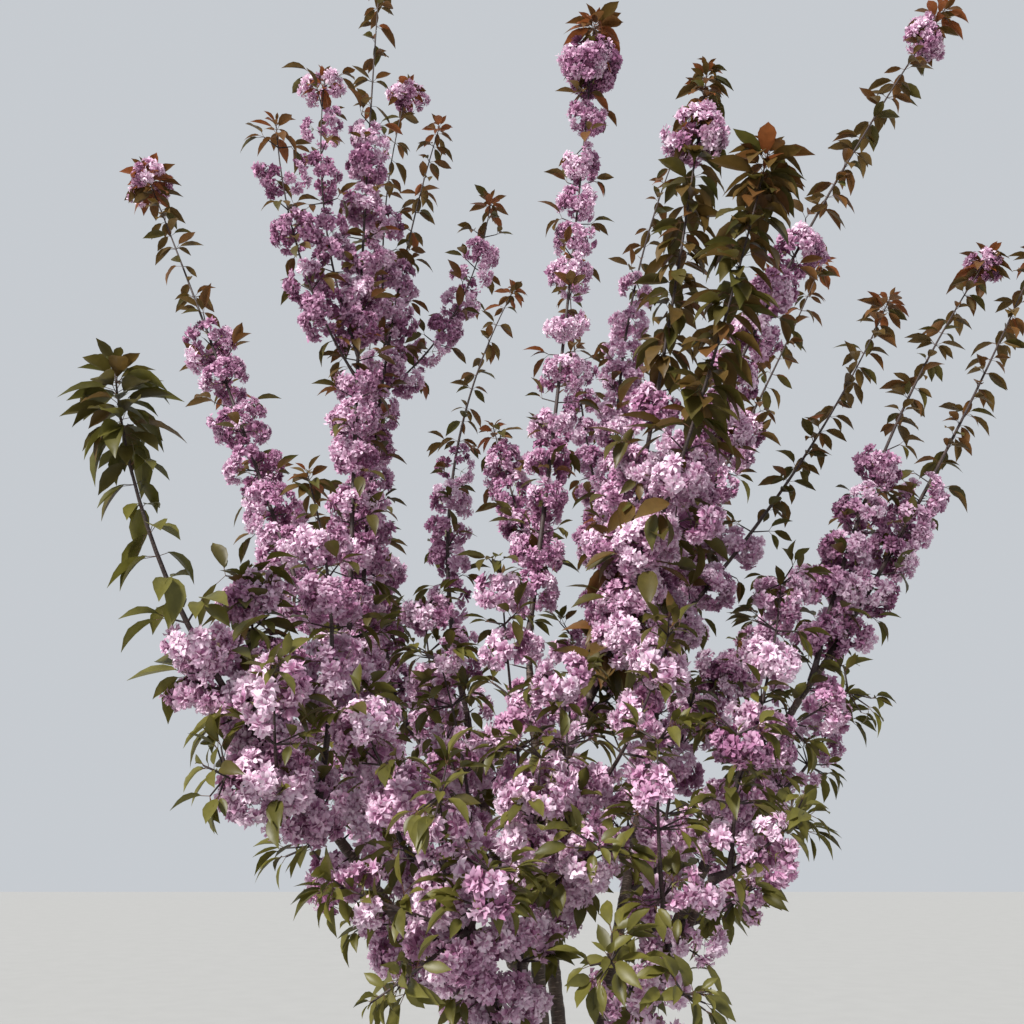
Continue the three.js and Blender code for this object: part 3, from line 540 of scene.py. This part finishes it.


# Whorls from the outside in: petals, angle from the flower's axis, length and width in flower radii,
# height of the claw in flower radii, and how many shades darker than the flower's own the whorl is
# The outer whorl's darker shade is partly the deeper pink of the petals' outer sides, partly painted shade on
# their backs
OPEN_WHORLS = ((8, 1.72, 0.92, 0.44, 0.04, 1), (9, 1.34, 1.04, 0.40, 0.06, 0), (8, 0.94, 1.00, 0.37, 0.10, 0),
               (6, 0.50, 0.90, 0.32, 0.16, 0))
CUPPED_WHORLS = ((9, 1.05, 1.00, 0.46, 0.00, 1), (8, 0.72, 0.96, 0.42, 0.04, 0),
                 (7, 0.42, 0.88, 0.38, 0.08, 0), (4, 0.18, 0.76, 0.32, 0.12, 0))


def flower_kind(seed, whorls):
    """Points, triangles and shades of one flower at the origin that looks along +Z."""
    draw = np.random.default_rng(seed)
    size = FLOWER.radius
    points, triangles, shades = [], [], []
    count = 0
    for place, (petals, angle, length, width, lift, darker) in enumerate(whorls):
        for i in range(petals):
            turn = FULL_TURN * (i + 0.5 * (place % 2)) / petals + PETAL.turn_spread * draw.normal()
            bend = angle + PETAL.angle_spread * draw.normal()
            reach = size * length * between(draw, PETAL.lengths)
            spread = size * width * between(draw, PETAL.widths)
            new, faces = petal(draw, bend, turn, reach, spread, size * lift)
            points.append(new)
            triangles.append(faces + count)
            own = darker + int(draw.random() < PETAL.darker_share)
            # The claw's triangle is one shade darker: partly the deeper pink at a petal's base, partly
            # painted shade where the layered petals overlap
            shades.append(np.array((own + 1, own, own)))
            count += len(new)
    return np.concatenate(points), np.concatenate(triangles), np.concatenate(shades)


FLOWER_KINDS = [flower_kind(FLOWER.open_seed + i, OPEN_WHORLS) for i in range(FLOWER.open_kinds)]
FLOWER_KINDS += [flower_kind(FLOWER.cupped_seed + i, CUPPED_WHORLS) for i in range(FLOWER.cupped_kinds)]


def add_flowers(pile, flowers):
    """flowers: rows of (kind, centre, axis, spin, size, shade)."""
    for number, (points, triangles, darker) in enumerate(FLOWER_KINDS):
        rows = [row for row in flowers if row[0] == number]
        if not rows:
            continue
        _, centres, axes, spins, sizes, shades = (np.array(column) for column in zip(*rows))
        axes = unit(axes)
        spins = spins[:, None]
        first, second = square_pair(axes)
        turned = np.cos(spins) * first + np.sin(spins) * second
        basis = np.stack((turned, np.cross(axes, turned), axes), axis=1)
        placed = centres[:, None] + sizes[:, None, None] * np.einsum("pi,nij->npj", points, basis)
        shades = np.clip(shades[:, None] + darker[None], 0, len(PETAL_COLOURS) - 1)
        pile.add_copies(placed, triangles, shades.ravel())


# Leaves: pointed blades, folded along the midrib and arched, on thin stalks

LEAF_SHARES = np.array((0.0, 0.11, 0.30, 0.54, 0.74, 0.88, 1.0))
LEAF_WIDTHS = np.array((0.0, 0.48, 0.88, 1.00, 0.70, 0.28, 0.0))


def leaf_template():
    """Share along the blade, side and width of each point, and the triangles."""
    rows = [(0.0, 0.0, 0.0)]
    for share, width in zip(LEAF_SHARES[1:-1], LEAF_WIDTHS[1:-1]):
        rows += [(share, -1.0, width), (share, 0.0, 0.0), (share, 1.0, width)]
    rows.append((1.0, 0.0, 0.0))
    triangles = [(0, 2, 1), (0, 3, 2)]
    for start in range(1, len(rows) - 4, 3):
        for left in (start, start + 1):
            triangles += [(left, left + 1, left + 3), (left + 1, left + 4, left + 3)]
    last = len(rows) - 1
    triangles += [(last - 3, last - 2, last), (last - 2, last - 1, last)]
    return np.array(rows), np.array(triangles)


LEAF_ROWS, LEAF_TRIANGLES = leaf_template()


def add_leaves(pile, leaves):
    """leaves: rows of (root, foot of the blade, direction, upper side, length, arch, fold, shade)."""
    if not leaves:
        return
    roots, bases, ahead, upper, length, arch, fold, shades = (np.array(column) for column in zip(*leaves))
    length, arch, fold = (numbers[:, None, None] for numbers in (length, arch, fold))
    ahead = unit(ahead)
    edge = unit(np.cross(upper, ahead))
    face = np.cross(ahead, edge)
    share = LEAF_ROWS[None, :, 0:1]
    side = LEAF_ROWS[None, :, 1:2] * LEAF_ROWS[None, :, 2:3]
    run = length * (share - LEAF.shortening * arch * share**3)
    sway = 0.5 * LEAF.width * length * side
    rise = fold * np.abs(sway) - arch * length * share**2
    points = bases[:, None] + run * ahead[:, None] + sway * edge[:, None] + rise * face[:, None]
    pile.add_copies(points, LEAF_TRIANGLES, np.repeat(shades, len(LEAF_TRIANGLES)))
    paths = np.stack((roots, bases + LEAF.stalk_overlap * length[:, 0] * ahead), axis=1)
    thin_tubes(pile, paths, LEAF.stalk_radius, LEAF_STALK)


# Growing


def stations_of(limb, draw, bloom, bloom_step, leaf_step, first_run, to_share=1.0):
    """Stations follow each other up a stem, each turned by about the golden angle."""
    run = first_run
    turn = FULL_TURN * draw.random()
    while run < limb.length * to_share - LAST_RUN:
        share = run / limb.length
        in_bloom = bloom[0] <= share <= bloom[1]
        yield share, turn, in_bloom
        run += (bloom_step if in_bloom else leaf_step) * between(draw, STEPS)
        turn += GOLDEN_ANGLE + between(draw, SWERVE)


def heading(limb, share, turn, rise):
    """The way out of a limb on one side, rising by an angle, and the way along the limb."""
    along, across, out = limb.frame(share)
    return unit(swung(swung(across, out, turn), along, rise)), along


def grow_umbel(growth, draw, root, ahead, reach, size, shade):
    """A short spur and stalk, and four or five flowers round its end."""
    spur = root + ahead * reach * between(draw, UMBEL.spur_shares)
    growth.spurs.append((root, spur))
    hub = spur + unit(ahead - UMBEL.peduncle_droop * UP) * UMBEL.peduncle * size
    growth.stalks.append((spur, hub))
    main = unit(ahead - UMBEL.droop * UP)
    first, second = (pair[0] for pair in square_pair(main[None]))
    count = whole(draw, UMBEL.flowers)
    start = FULL_TURN * draw.random()
    for i in range(count):
        turn = start + FULL_TURN * i / count + UMBEL.turn_spread * draw.normal()
        tilt = between(draw, UMBEL.spread) if i else UMBEL.middle_tilt * draw.random()
        direction = unit(swung(main, swung(first, second, turn), tilt))
        end = hub + direction * between(draw, UMBEL.pedicel) * size
        growth.stalks.append((hub, end))
        kind = int(draw.integers(FLOWER.open_kinds))
        if draw.random() < FLOWER.cupped_share:
            kind = FLOWER.open_kinds + int(draw.integers(FLOWER.cupped_kinds))
        axis = unit(direction + UMBEL.axis_lean * main - UMBEL.axis_droop * UP)
        scale = size * between(draw, FLOWER.sizes)
        own = shade + int(draw.random() < UMBEL.darker_share)
        growth.flowers.append((kind, end, axis, FULL_TURN * draw.random(), scale, own))


def grow_leaf(growth, draw, root, ahead, along, length, shade, droop):
    """One leaf on its stalk."""
    foot = root + unit(ahead + LEAF.lift * UP) * LEAF.stalk * length
    direction = unit(ahead - droop * UP * between(draw, LEAF.droops))
    upper = unit(along + LEAF.upright * UP + LEAF.twist * draw.normal(size=3))
    arch = between(draw, LEAF.arches)
    fold = between(draw, LEAF.folds)
    growth.leaves.append((root, foot, direction, upper, length, arch, fold, shade))


def leaf_shade(draw, height, tone, is_tip=False):
    """Olive low in the crown, bronze up the wands, and reddish at their tips."""
    lift = tone
    if tone is None:
        lift = LEAF_TONE.most * np.clip((height - LEAF_TONE.low) / LEAF_TONE.run, 0, 1)
    shade = lift + LEAF_TONE.tip * is_tip + LEAF_TONE.spread * draw.normal()
    return int(np.clip(round(shade), 0, LEAF_STALK - 1))


def grow_leaves(growth, draw, limb, share, turn, look, tone, count, reach=0.0):
    """Some leaves from one place of a stem: round it, or in tufts on spurs where there is a reach."""
    place = limb.point(share)
    young = np.clip((1 - share) * limb.length / YOUNG_RUN, 0, 1)
    full_length = mix(look.tip_length, look.leaf_length, young)
    droop = look.droop * (TUFT.droop_share if reach else 1)
    for i in range(count):
        swerve = LEAF.turn_spread * draw.normal()
        rise = between(draw, LEAF.rises)
        if reach:
            tuft, place_in_tuft = divmod(i, TUFT.leaves)
            if place_in_tuft == 0:
                ahead, along = heading(limb, share, turn + tuft * LEAF.turn, rise)
                root = place + ahead * reach
                growth.spurs.append((place, root))
            direction = unit(ahead + TUFT.spread * unit(draw.normal(size=3)))
        else:
            root = place
            direction, along = heading(limb, share, turn + i * LEAF.turn + swerve, rise)
        length = full_length * between(draw, LEAF.lengths)
        grow_leaf(growth, draw, root, direction, along, length, leaf_shade(draw, place[2], tone), droop)


def grow_knot(growth, draw, limb, share, turn, umbels, size, spur, own_shade):
    """Umbels all round one place of a stem."""
    for i in range(whole(draw, umbels)):
        ahead, _ = heading(limb, share, turn + i * GOLDEN_ANGLE, between(draw, UMBEL.rises))
        root = limb.point(share + KNOT.reach * mix(-1, 1, draw.random()) / limb.length)
        shade = max(own_shade + whole(draw, KNOT.shades), 0)
        grow_umbel(growth, draw, root, ahead, spur, size * between(draw, UMBEL.sizes), shade)


def grow_along(growth, draw, limb, bloom, look, tone, own_shade):
    """Knots of umbels with leaves between them where the stem is in bloom, and leafy spurs elsewhere."""
    stations = stations_of(limb, draw, bloom, look.knot_step, look.leaf_step, FIRST_RUN)
    for share, turn, in_bloom in stations:
        if in_bloom:
            grow_knot(growth, draw, limb, share, turn, look.knot_umbels, look.size, look.spur, own_shade)
            beyond = min(share + 0.5 * look.knot_step / limb.length, 1)
            count = int(look.knot_leaves + draw.random())
            grow_leaves(growth, draw, limb, beyond, turn, look, tone, count, look.leaf_start)
        else:
            grow_leaves(growth, draw, limb, share, turn, look, tone, whole(draw, look.spur_leaves))


def grow_twigs(growth, draw, limb, bloom, look, tone, own_shade):
    """Short flowering twigs round the foot of a wand. Gives back the twigs as limbs."""
    twigs = []
    step = TWIG.step
    for share, turn, in_bloom in stations_of(limb, draw, bloom, step, step, step, TWIG.to_share):
        if not in_bloom:
            continue
        ahead, _ = heading(limb, share, turn, between(draw, TWIG.rises))
        root = limb.point(share)
        reach = between(draw, TWIG.length) * mix(*TWIG.shortening, share / TWIG.to_share)
        tip = root + ahead * reach + UP * TWIG.lift * reach
        twig = Limb(root, tip / MM, TWIG.bow * reach * UP / MM, TWIG.start, TWIG.end)
        grow_knot(growth, draw, twig, TWIG.knot, turn, TWIG.umbels, look.size, look.spur, own_shade)
        grow_leaves(growth, draw, twig, TWIG.leaves_at, turn, look, tone, TWIG.leaves, look.leaf_start)
        twigs.append(twig)
    return twigs


def grow_tip(growth, draw, limb, look, mass):
    """A whorl of leaves at a stem's tip: upright and short at its end, and wide and long below it."""
    for i in range(look.tip_leaves):
        low = i / look.tip_leaves
        share = 1 - look.tip_stretch * (low + TIP.inset) / limb.length
        rise = mix(*TIP.rises, low) + TIP.rise_spread * draw.normal()
        ahead, along = heading(limb, share, i * GOLDEN_ANGLE, rise)
        growing = min(TIP.first_length + TIP.lengthening * low, 1)
        length = look.tip_length * between(draw, TIP.lengths) * growing
        shade = leaf_shade(draw, limb.tip[2], mass.tone, mass.is_wand)
        droop = TIP.droop + look.droop * low
        grow_leaf(growth, draw, limb.point(share), ahead, along, length, shade, droop)


def grow_stem(growth, mass, limb, row, seed):
    """All that one stem bears. Gives back its twigs as limbs."""
    draw = np.random.default_rng(seed)
    look = LOOKS[row.look or mass.look]
    # Darker blossom higher in the crown: partly paler older flowers low down, partly painted shade higher up
    up_crown = (limb.point(0.5)[2] - BLOSSOM_FADE_AND_SHADE.low) / BLOSSOM_FADE_AND_SHADE.run
    own_shade = int(draw.random() < np.clip(up_crown, *BLOSSOM_FADE_AND_SHADE.darker_shares))
    grow_along(growth, draw, limb, row.bloom, look, mass.tone, own_shade)
    twigs = []
    if mass.is_wand and row.twigs:
        twigs = grow_twigs(growth, draw, limb, row.bloom, look, mass.tone, own_shade)
    grow_tip(growth, draw, limb, look, mass)
    for run, umbels, size, spur in row.pompoms:
        share = 1 - (run + KNOT.reach) / limb.length
        grow_knot(growth, draw, limb, share, run, (umbels, umbels), size, spur, own_shade)
    return twigs


def new_growth():
    return Group(spurs=[], stalks=[], flowers=[], leaves=[])


def line_of(limb, shares):
    """The places and the two square directions of a limb at some shares of it."""
    frames = np.array([limb.frame(share) for share in shares])
    return np.array([limb.point(share) for share in shares]), frames[:, 1], frames[:, 2]


def add_limb(pile, limb, kind, sides, closed=False):
    """A limb's tube, thicker at its foot, where it leaves what bears it."""
    count = max(kind.least, int(limb.length / kind.step))
    shares = np.linspace(0, 1, count + 1)
    collar = 1 + kind.collar * np.exp(-shares * limb.length / kind.collar_run)
    radii = np.array([limb.radius(share) for share in shares]) * collar
    tube(pile, *line_of(limb, shares), np.repeat(radii[:, None], sides, axis=1), closed)


def piles_of(growth, tubes):
    blossom, foliage, twigs = Pile(), Pile(), Pile()
    add_flowers(blossom, growth.flowers)
    add_leaves(foliage, growth.leaves)
    for limb, sides in tubes:
        add_limb(twigs, limb, STEM, sides)
    thin_tubes(twigs, np.array(growth.spurs), SPUR_RADII, BROWN)
    spikes(twigs, np.array(growth.stalks), STALK_RADIUS, GREEN)
    return dict(blossom=blossom, foliage=foliage, twigs=twigs)


def grow_mass(mass):
    growth = new_growth()
    tubes = []
    for limb, row, seed in mass.stems:
        twigs = grow_stem(growth, mass, limb, row, seed)
        tubes += [(limb, STEM.sides)] + [(twig, TWIG.sides) for twig in twigs]
    grown_piles = piles_of(growth, tubes)
    for pile in grown_piles.values():
        pile.names.add(mass.name)
    return grown_piles


def grow_bough(place, limb):
    """Blossom and leaves on spurs along the outer part of a bough, between its masses."""
    growth = new_growth()
    draw = np.random.default_rng(BOUGH_SEED + place)
    look = LOOKS["spray"]
    step = BOUGH_BLOOM.step
    first_run = BOUGH_BLOOM.from_share * limb.length
    for share, turn, _ in stations_of(limb, draw, (0, 1), step, step, first_run):
        ahead, _ = heading(limb, share, turn, between(draw, BOUGH_BLOOM.rises))
        root = limb.point(share) + ahead * limb.radius(share) * BOUGH_BLOOM.sink
        if draw.random() < BOUGH_BLOOM.umbel_share:
            size = between(draw, UMBEL.sizes)
            grow_umbel(growth, draw, root, ahead, look.spur, size, whole(draw, BOUGH_BLOOM.shades))
        count = whole(draw, BOUGH_BLOOM.leaves)
        leaf_turn = turn + BOUGH_BLOOM.leaf_turn
        grow_leaves(growth, draw, limb, share, leaf_turn, look, None, count, look.leaf_start)
    return piles_of(growth, [])


# Trunk and boughs in one skin


def add_trunk(pile):
    trunk = limbs["trunk"]
    shares = np.linspace(0, 1, int(trunk.length / TRUNK.step) + 1)
    turns = FULL_TURN * np.arange(TRUNK.sides) / TRUNK.sides
    radii = np.array([trunk.radius(share, turns) for share in shares])
    tube(pile, *line_of(trunk, shares), radii, closed=True)


def skin_of(pile):
    """A mesh of one skin round all the tubes of a pile."""
    rough = pile.build("bark_rough", [])
    remesh = rough.modifiers.new("skin", "REMESH")
    remesh.mode = "VOXEL"
    remesh.voxel_size = BARK.voxel
    graph = bpy.context.evaluated_depsgraph_get()
    mesh = bpy.data.meshes.new_from_object(rough.evaluated_get(graph))
    bpy.data.objects.remove(rough)
    return mesh


def read(items, key, width, kind=float):
    values = np.zeros(len(items) * width, kind)
    items.foreach_get(key, values)
    return values.reshape(-1, width)


def nearest_places(points):
    """For each point the place on its nearest limb: across, out and along it, and the limb's radius."""
    spots = [(limb, share) for limb in limbs.values() for share in np.linspace(0, 1, BARK.samples)]
    samples = np.array([limb.point(share) for limb, share in spots])
    frames = np.array([limb.frame(share) for limb, share in spots])
    runs = np.array([share * limb.length for limb, share in spots])
    radii = np.array([limb.radius(share) for limb, share in spots])
    nearest = np.empty(len(points), int)
    for start in range(0, len(points), BARK.batch):
        part = slice(start, start + BARK.batch)
        apart = np.linalg.norm(points[part, None] - samples[None], axis=2) - radii[None]
        nearest[part] = apart.argmin(axis=1)
    local = np.einsum("pij,pj->pi", frames[nearest], points - samples[nearest])
    return np.stack((local[:, 1], local[:, 2], runs[nearest] + local[:, 0]), axis=1), radii[nearest]


def wave_noise(places, seed, scale):
    """Smooth noise as a sum of seeded waves."""
    draw = np.random.default_rng(seed)
    total = np.zeros(len(places))
    for _ in range(WAVES):
        direction = draw.normal(size=3) * scale
        total += np.sin(places @ direction + FULL_TURN * draw.random())
    return total / math.sqrt(WAVES)


def soften(points, edges, weights, rounds):
    """Moves each point towards the middle of its neighbours."""
    degree = np.bincount(edges.ravel(), minlength=len(points))[:, None]
    for _ in range(rounds):
        total = np.zeros_like(points)
        np.add.at(total, edges[:, 0], points[edges[:, 1]])
        np.add.at(total, edges[:, 1], points[edges[:, 0]])
        points = points + 0.5 * weights[:, None] * (total / degree - points)
    return points


def smooth(mesh):
    """Smooths the whole skin, and the fork more. Gives back its points."""
    points = read(mesh.vertices, "co", 3)
    edges = read(mesh.edges, "vertices", 2, np.int32)
    low, high = BARK.fork
    at_fork = np.clip(np.minimum(points[:, 2] - low, high - points[:, 2]) / BARK.fork_blend, 0, 1)
    points = soften(points, edges, np.ones(len(points)), BARK.smoothing)
    points = soften(points, edges, at_fork, BARK.fork_smoothing)
    mesh.vertices.foreach_set("co", points.ravel())
    mesh.update()
    return points


def bark_piece(material):
    rough = Pile()
    add_trunk(rough)
    for name, *_ in BOUGHS:
        add_limb(rough, limbs[name], BOUGH, BOUGH.sides, closed=True)
    mesh = skin_of(rough)
    points = smooth(mesh)
    places, radii = nearest_places(points)
    relief = 0.0
    for seed, scale, height, radius_share in RELIEF:
        relief = relief + (height + radius_share * radii) * wave_noise(places, seed, np.array(scale))
    relief = relief * np.clip(points[:, 2] / BARK.foot_blend, 0, 1)
    moved = points + read(mesh.vertices, "normal", 3) * relief[:, None]
    moved[:, 2] = np.where(points[:, 2] < BARK.foot, 0.0, np.maximum(moved[:, 2], 0.0))
    mesh.vertices.foreach_set("co", moved.ravel())
    mesh.materials.append(material)
    mesh.update()
    return shown("bark", mesh, places)


# Materials


def set_inputs(tree, node, inputs):
    """Gives each named socket of a node its value, or a link where the value is another node's socket."""
    for name, value in inputs.items():
        if isinstance(value, bpy.types.NodeSocket):
            tree.links.new(value, node.inputs[name])
        else:
            node.inputs[name].default_value = value


def add_node(tree, kind, inputs):
    node = tree.nodes.new("ShaderNode" + kind)
    set_inputs(tree, node, inputs)
    return node


def new_material(name):
    material = bpy.data.materials.new(name)
    material.use_nodes = True
    return material, material.node_tree, material.node_tree.nodes["Principled BSDF"]


def varied_colour(tree, colour, grain, drift):
    """A colour that drifts a little lighter and darker over the surface, and the noise that it follows."""
    place = add_node(tree, "TexCoord", {})
    noise = add_node(tree, "TexNoise", {"Vector": place.outputs["Object"], "Scale": grain, "Detail": 3})
    ramp = add_node(tree, "MapRange", {"Value": noise.outputs["Fac"], "From Min": 0.3, "From Max": 0.7,
                                       "To Min": 1 - drift, "To Max": 1 + drift})
    shade = add_node(tree, "HueSaturation", {"Color": linear(colour), "Value": ramp.outputs["Result"]})
    return shade.outputs["Color"], noise.outputs["Fac"]


def plain_material(name, colour, grain, drift, roughness):
    material, tree, principled = new_material(name)
    tint, _ = varied_colour(tree, colour, grain, drift)
    set_inputs(tree, principled, {"Base Color": tint, "Roughness": roughness})
    return material


def thin_material(name, colour, grain, drift, roughness, see_through, sheen):
    """A thin, slightly see-through blade: a petal or a leaf."""
    material, tree, principled = new_material(name)
    tint, noise = varied_colour(tree, colour, grain, drift)
    bump = add_node(tree, "Bump", {"Height": noise, "Distance": 0.0006, "Strength": 0.4})
    set_inputs(tree, principled, {"Base Color": tint, "Roughness": roughness, "Specular IOR Level": 0.35,
                                  "Sheen Weight": sheen, "Sheen Roughness": 0.4,
                                  "Normal": bump.outputs["Normal"]})
    through = add_node(tree, "BsdfTranslucent", {"Color": tint})
    blend = add_node(tree, "MixShader", {"Fac": see_through, 1: principled.outputs["BSDF"],
                                         2: through.outputs["BSDF"]})
    set_inputs(tree, tree.nodes["Material Output"], {"Surface": blend.outputs["Shader"]})
    return material


def bark_material(name, dark, light, band, band_scale, depth):
    """Smooth bark with drifting tone and pale bands of lenticels round the limb."""
    material, tree, principled = new_material(name)
    place = add_node(tree, "Attribute", {})
    place.attribute_name = "limb_place"
    stretched = add_node(tree, "VectorMath", {0: place.outputs["Vector"], 1: band_scale})
    stretched.operation = "MULTIPLY"
    bands = add_node(tree, "TexNoise", {"Vector": stretched.outputs["Vector"], "Scale": 1.0, "Detail": 4})
    sharp = add_node(tree, "MapRange", {"Value": bands.outputs["Fac"], "From Min": 0.56, "From Max": 0.66})
    drift = add_node(tree, "TexNoise", {"Vector": place.outputs["Vector"], "Scale": 22.0, "Detail": 8,
                                        "Roughness": 0.65})
    tone = add_node(tree, "ValToRGB", {"Fac": drift.outputs["Fac"]})
    for element, position, colour in zip(tone.color_ramp.elements, (0.34, 0.68), (dark, light)):
        element.position = position
        element.color = linear(colour)
    banded = add_node(tree, "Mix", {})
    banded.data_type = "RGBA"
    set_inputs(tree, banded, {"Factor": sharp.outputs["Result"], "A": tone.outputs["Color"],
                              "B": linear(band)})
    relief = add_node(tree, "Math", {0: sharp.outputs["Result"], 1: drift.outputs["Fac"]})
    relief.operation = "ADD"
    bump = add_node(tree, "Bump", {"Height": relief.outputs["Value"], "Distance": depth, "Strength": 0.8})
    set_inputs(tree, principled, {"Base Color": banded.outputs["Result"], "Roughness": 0.62,
                                  "Normal": bump.outputs["Normal"]})
    return material


MATERIALS = dict(
    blossom=[thin_material(f"petal_{i}", colour, **PETAL_LOOK) for i, colour in enumerate(PETAL_COLOURS)],
    foliage=[thin_material(f"leaf_{i}", colour, **LEAF_LOOK) for i, colour in enumerate(LEAF_COLOURS)],
    twigs=[bark_material("twig_bark", **TWIG_LOOK), plain_material("stalk_green", **STALK_LOOK)],
)

# Building

bark = bark_piece(bark_material("trunk_bark", **TRUNK_LOOK))
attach(bark, "root")
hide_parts(*limbs)

SLOTS = dict(blossom="blossom", foliage="foliage", twigs="bark")


def hand_over(kind, number, pile):
    """Makes one joined piece, hangs it on the root body and hides the parts that it stands for."""
    piece = pile.build(f"{kind}_{number}", MATERIALS[kind])
    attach(piece, "root")
    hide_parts(*sorted(pile.names))


grown_masses = [grow_mass(mass) for mass in masses]
grown_masses += [grow_bough(place, limbs[name]) for place, (name, *_) in enumerate(BOUGHS)]
for kind in SLOTS:
    number = 1
    pile = Pile()
    for grown_piles in grown_masses:
        part = grown_piles[kind]
        if pile.triangle_count + part.triangle_count > MOST_TRIANGLES:
            hand_over(kind, number, pile)
            number += 1
            pile = Pile()
        pile.take(part)
    hand_over(kind, number, pile)

# Floor, light and camera


def add_floor():
    mesh = bpy.data.meshes.new("floor")
    corners = [(x * FLOOR_HALF, y * FLOOR_HALF, 0) for x, y in ((-1, -1), (1, -1), (1, 1), (-1, 1))]
    mesh.from_pydata(corners, [], [(0, 1, 2, 3)])
    mesh.materials.append(plain_material("floor", **FLOOR_LOOK))
    floor = new_object("floor", mesh)


def add_light():
    world = bpy.data.worlds.new("studio")
    world.use_nodes = True
    background = world.node_tree.nodes["Background"]
    set_inputs(world.node_tree, background, {"Color": linear(SKY.colour), "Strength": SKY.strength})
    bpy.context.scene.world = world
    sun = bpy.data.lights.new("key", "SUN")
    sun.energy = SUN.energy
    sun.angle = SUN.angle
    sun.color = SUN.colour
    new_object("key", sun).rotation_euler = [math.radians(angle) for angle in SUN.degrees]


def add_camera():
    camera = bpy.data.cameras.new("camera")
    camera.sensor_width = CAMERA.sensor_mm
    camera.lens = CAMERA.lens_mm
    view = new_object("camera", camera)
    view.location = CAMERA.place
    view.rotation_euler = (math.radians(90 + CAMERA.pitch_degrees), 0, 0)
    bpy.context.scene.camera = view


add_floor()
add_light()
add_camera()
bpy.context.scene.view_settings.view_transform = "Standard"
